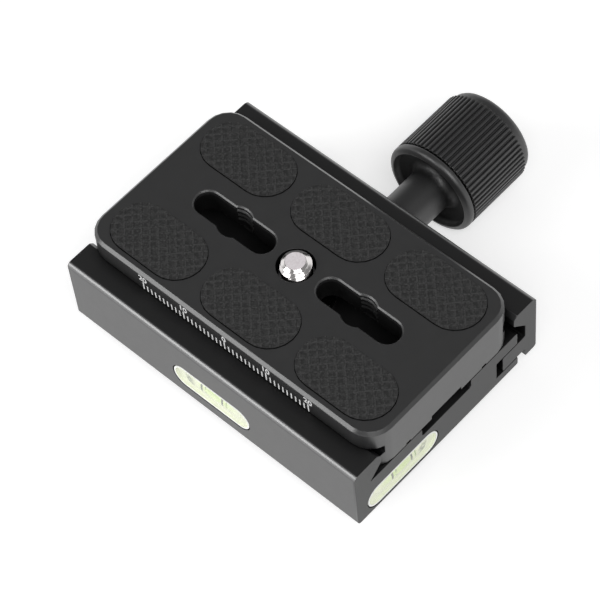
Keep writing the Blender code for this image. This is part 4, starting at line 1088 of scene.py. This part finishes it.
def make_camera():
    azimuth = math.radians(CAMERA_AZIMUTH_DEG)
    elevation = math.radians(CAMERA_ELEVATION_DEG)
    roll = math.radians(CAMERA_ROLL_DEG)
    back = Vector(
        (
            math.sin(azimuth) * math.cos(elevation),
            -math.cos(azimuth) * math.cos(elevation),
            math.sin(elevation),
        )
    )
    level_right = Vector((math.cos(azimuth), math.sin(azimuth), 0.0))
    level_up = back.cross(level_right)
    right = math.cos(roll) * level_right + math.sin(roll) * level_up
    up = math.cos(roll) * level_up - math.sin(roll) * level_right
    base_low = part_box("clamp_base")[0]
    aim = Vector((0.0, base_low.y + CAMERA_AIM_DEPTH, base_low.z))
    place = aim + back * CAMERA_DISTANCE - right * CAMERA_AIM_RIGHT - up * CAMERA_AIM_UP
    data = bpy.data.cameras.new("photo_camera")
    data.sensor_width = SENSOR_WIDTH
    data.lens = LENS
    data.clip_start = 0.01
    camera = bpy.data.objects.new("photo_camera", data)
    camera.matrix_world = Matrix(
        (
            (right.x, up.x, back.x, place.x),
            (right.y, up.y, back.y, place.y),
            (right.z, up.z, back.z, place.z),
            (0.0, 0.0, 0.0, 1.0),
        )
    )
    bpy.context.scene.collection.objects.link(camera)
    bpy.context.scene.camera = camera


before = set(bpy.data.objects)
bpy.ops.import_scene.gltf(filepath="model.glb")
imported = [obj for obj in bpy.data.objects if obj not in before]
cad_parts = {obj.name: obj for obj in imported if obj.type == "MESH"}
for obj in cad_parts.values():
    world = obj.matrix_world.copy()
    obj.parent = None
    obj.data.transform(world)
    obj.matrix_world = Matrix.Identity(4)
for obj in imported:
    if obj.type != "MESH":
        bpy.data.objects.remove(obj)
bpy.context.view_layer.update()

JAW_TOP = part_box("clamp_base")[1].z
plate_low, plate_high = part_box("camera_plate")
PLATE_TOP = plate_high.z
CENTRE_Y = (plate_low.y + plate_high.y) / 2
PLATE_HALF_WIDTH = (plate_high.y - plate_low.y) / 2
knob_low, knob_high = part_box("clamp_knob")
KNOB_FRONT = Vector(((knob_low.x + knob_high.x) / 2, knob_low.y, (knob_low.z + knob_high.z) / 2))

clamp_finish = anodised("clamp_black", 0.012, 0.38, clamp_faces)
plate_finish = anodised("plate_black", 0.014, 0.38, plate_faces)
knob_finish = anodised("knob_black", 0.013, 0.42, knob_faces, edge_radius=0.35 * MM)
steel_finish = bright_metal("bright_steel", (0.86, 0.83, 0.82), 0.14)
tip_finish = turned_tip("turned_steel")
spring_finish = bright_metal("spring_wire", (0.52, 0.52, 0.53), 0.30)
brass_finish = bright_metal("brass", (0.72, 0.55, 0.25), 0.28)
nylon_finish = moulded("nylon", (0.66, 0.65, 0.60), (0.78, 0.77, 0.72), 0.5)
plug_finish = moulded("vial_plug", (0.74, 0.76, 0.70), (0.84, 0.85, 0.80), 0.35)
rubber_finish = rubber("pad_rubber_black")
paint_finish = paint("scale_paint")
level_finishes = {
    "window": clear_acrylic("level_window"),
    "mark": moulded("level_mark", (0.020, 0.040, 0.014), (0.04, 0.07, 0.03), 0.4),
    "ghost": moulded("level_ghost", (0.30, 0.42, 0.14), (0.44, 0.56, 0.26), 0.4),
    "bubble": moulded("level_bubble", (0.80, 0.97, 0.46), (0.88, 0.98, 0.60), 0.08),
}
fluid_finish = moulded("level_fluid_green", (0.52, 0.90, 0.06), (0.64, 0.96, 0.14), 0.08)

set_material(["clamp_base", "sliding_jaw"], clamp_finish)
set_material(["camera_plate"], plate_finish)
set_material(["clamp_knob"], knob_finish)
set_material(["guide_pin_left", "guide_pin_right", "clamp_screw"], steel_finish)
set_material(["return_spring_left", "return_spring_right", "screw_retaining_ring"], spring_finish)
set_material(["thrust_washer"], nylon_finish)
set_material(["tripod_bushing"], brass_finish)
set_material(["front_level_fluid", "side_level_fluid"], fluid_finish)
set_material(["front_level_plug", "side_level_plug"], plug_finish)

smooth_curves(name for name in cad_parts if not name.startswith("pad_"))

make_pads(rubber_finish)
make_scale(paint_finish)
make_camera_screw(steel_finish, tip_finish)
make_threads(plate_finish, brass_finish)
make_springs(spring_finish)
for place_word in ("front", "side"):
    make_level(place_word, level_finishes)

make_floor()
make_world()
add_softbox(
    "front_softbox",
    azimuth_deg=-28.0,
    elevation_deg=29.0,
    distance=0.9,
    width=0.50,
    height=0.52,
    radiance=4.0,
)
add_softbox(
    "top_softbox",
    azimuth_deg=58.0,
    elevation_deg=54.0,
    distance=1.1,
    width=0.80,
    height=0.60,
    radiance=4.0,
)
make_camera()

bpy.context.scene.view_settings.view_transform = "Standard"
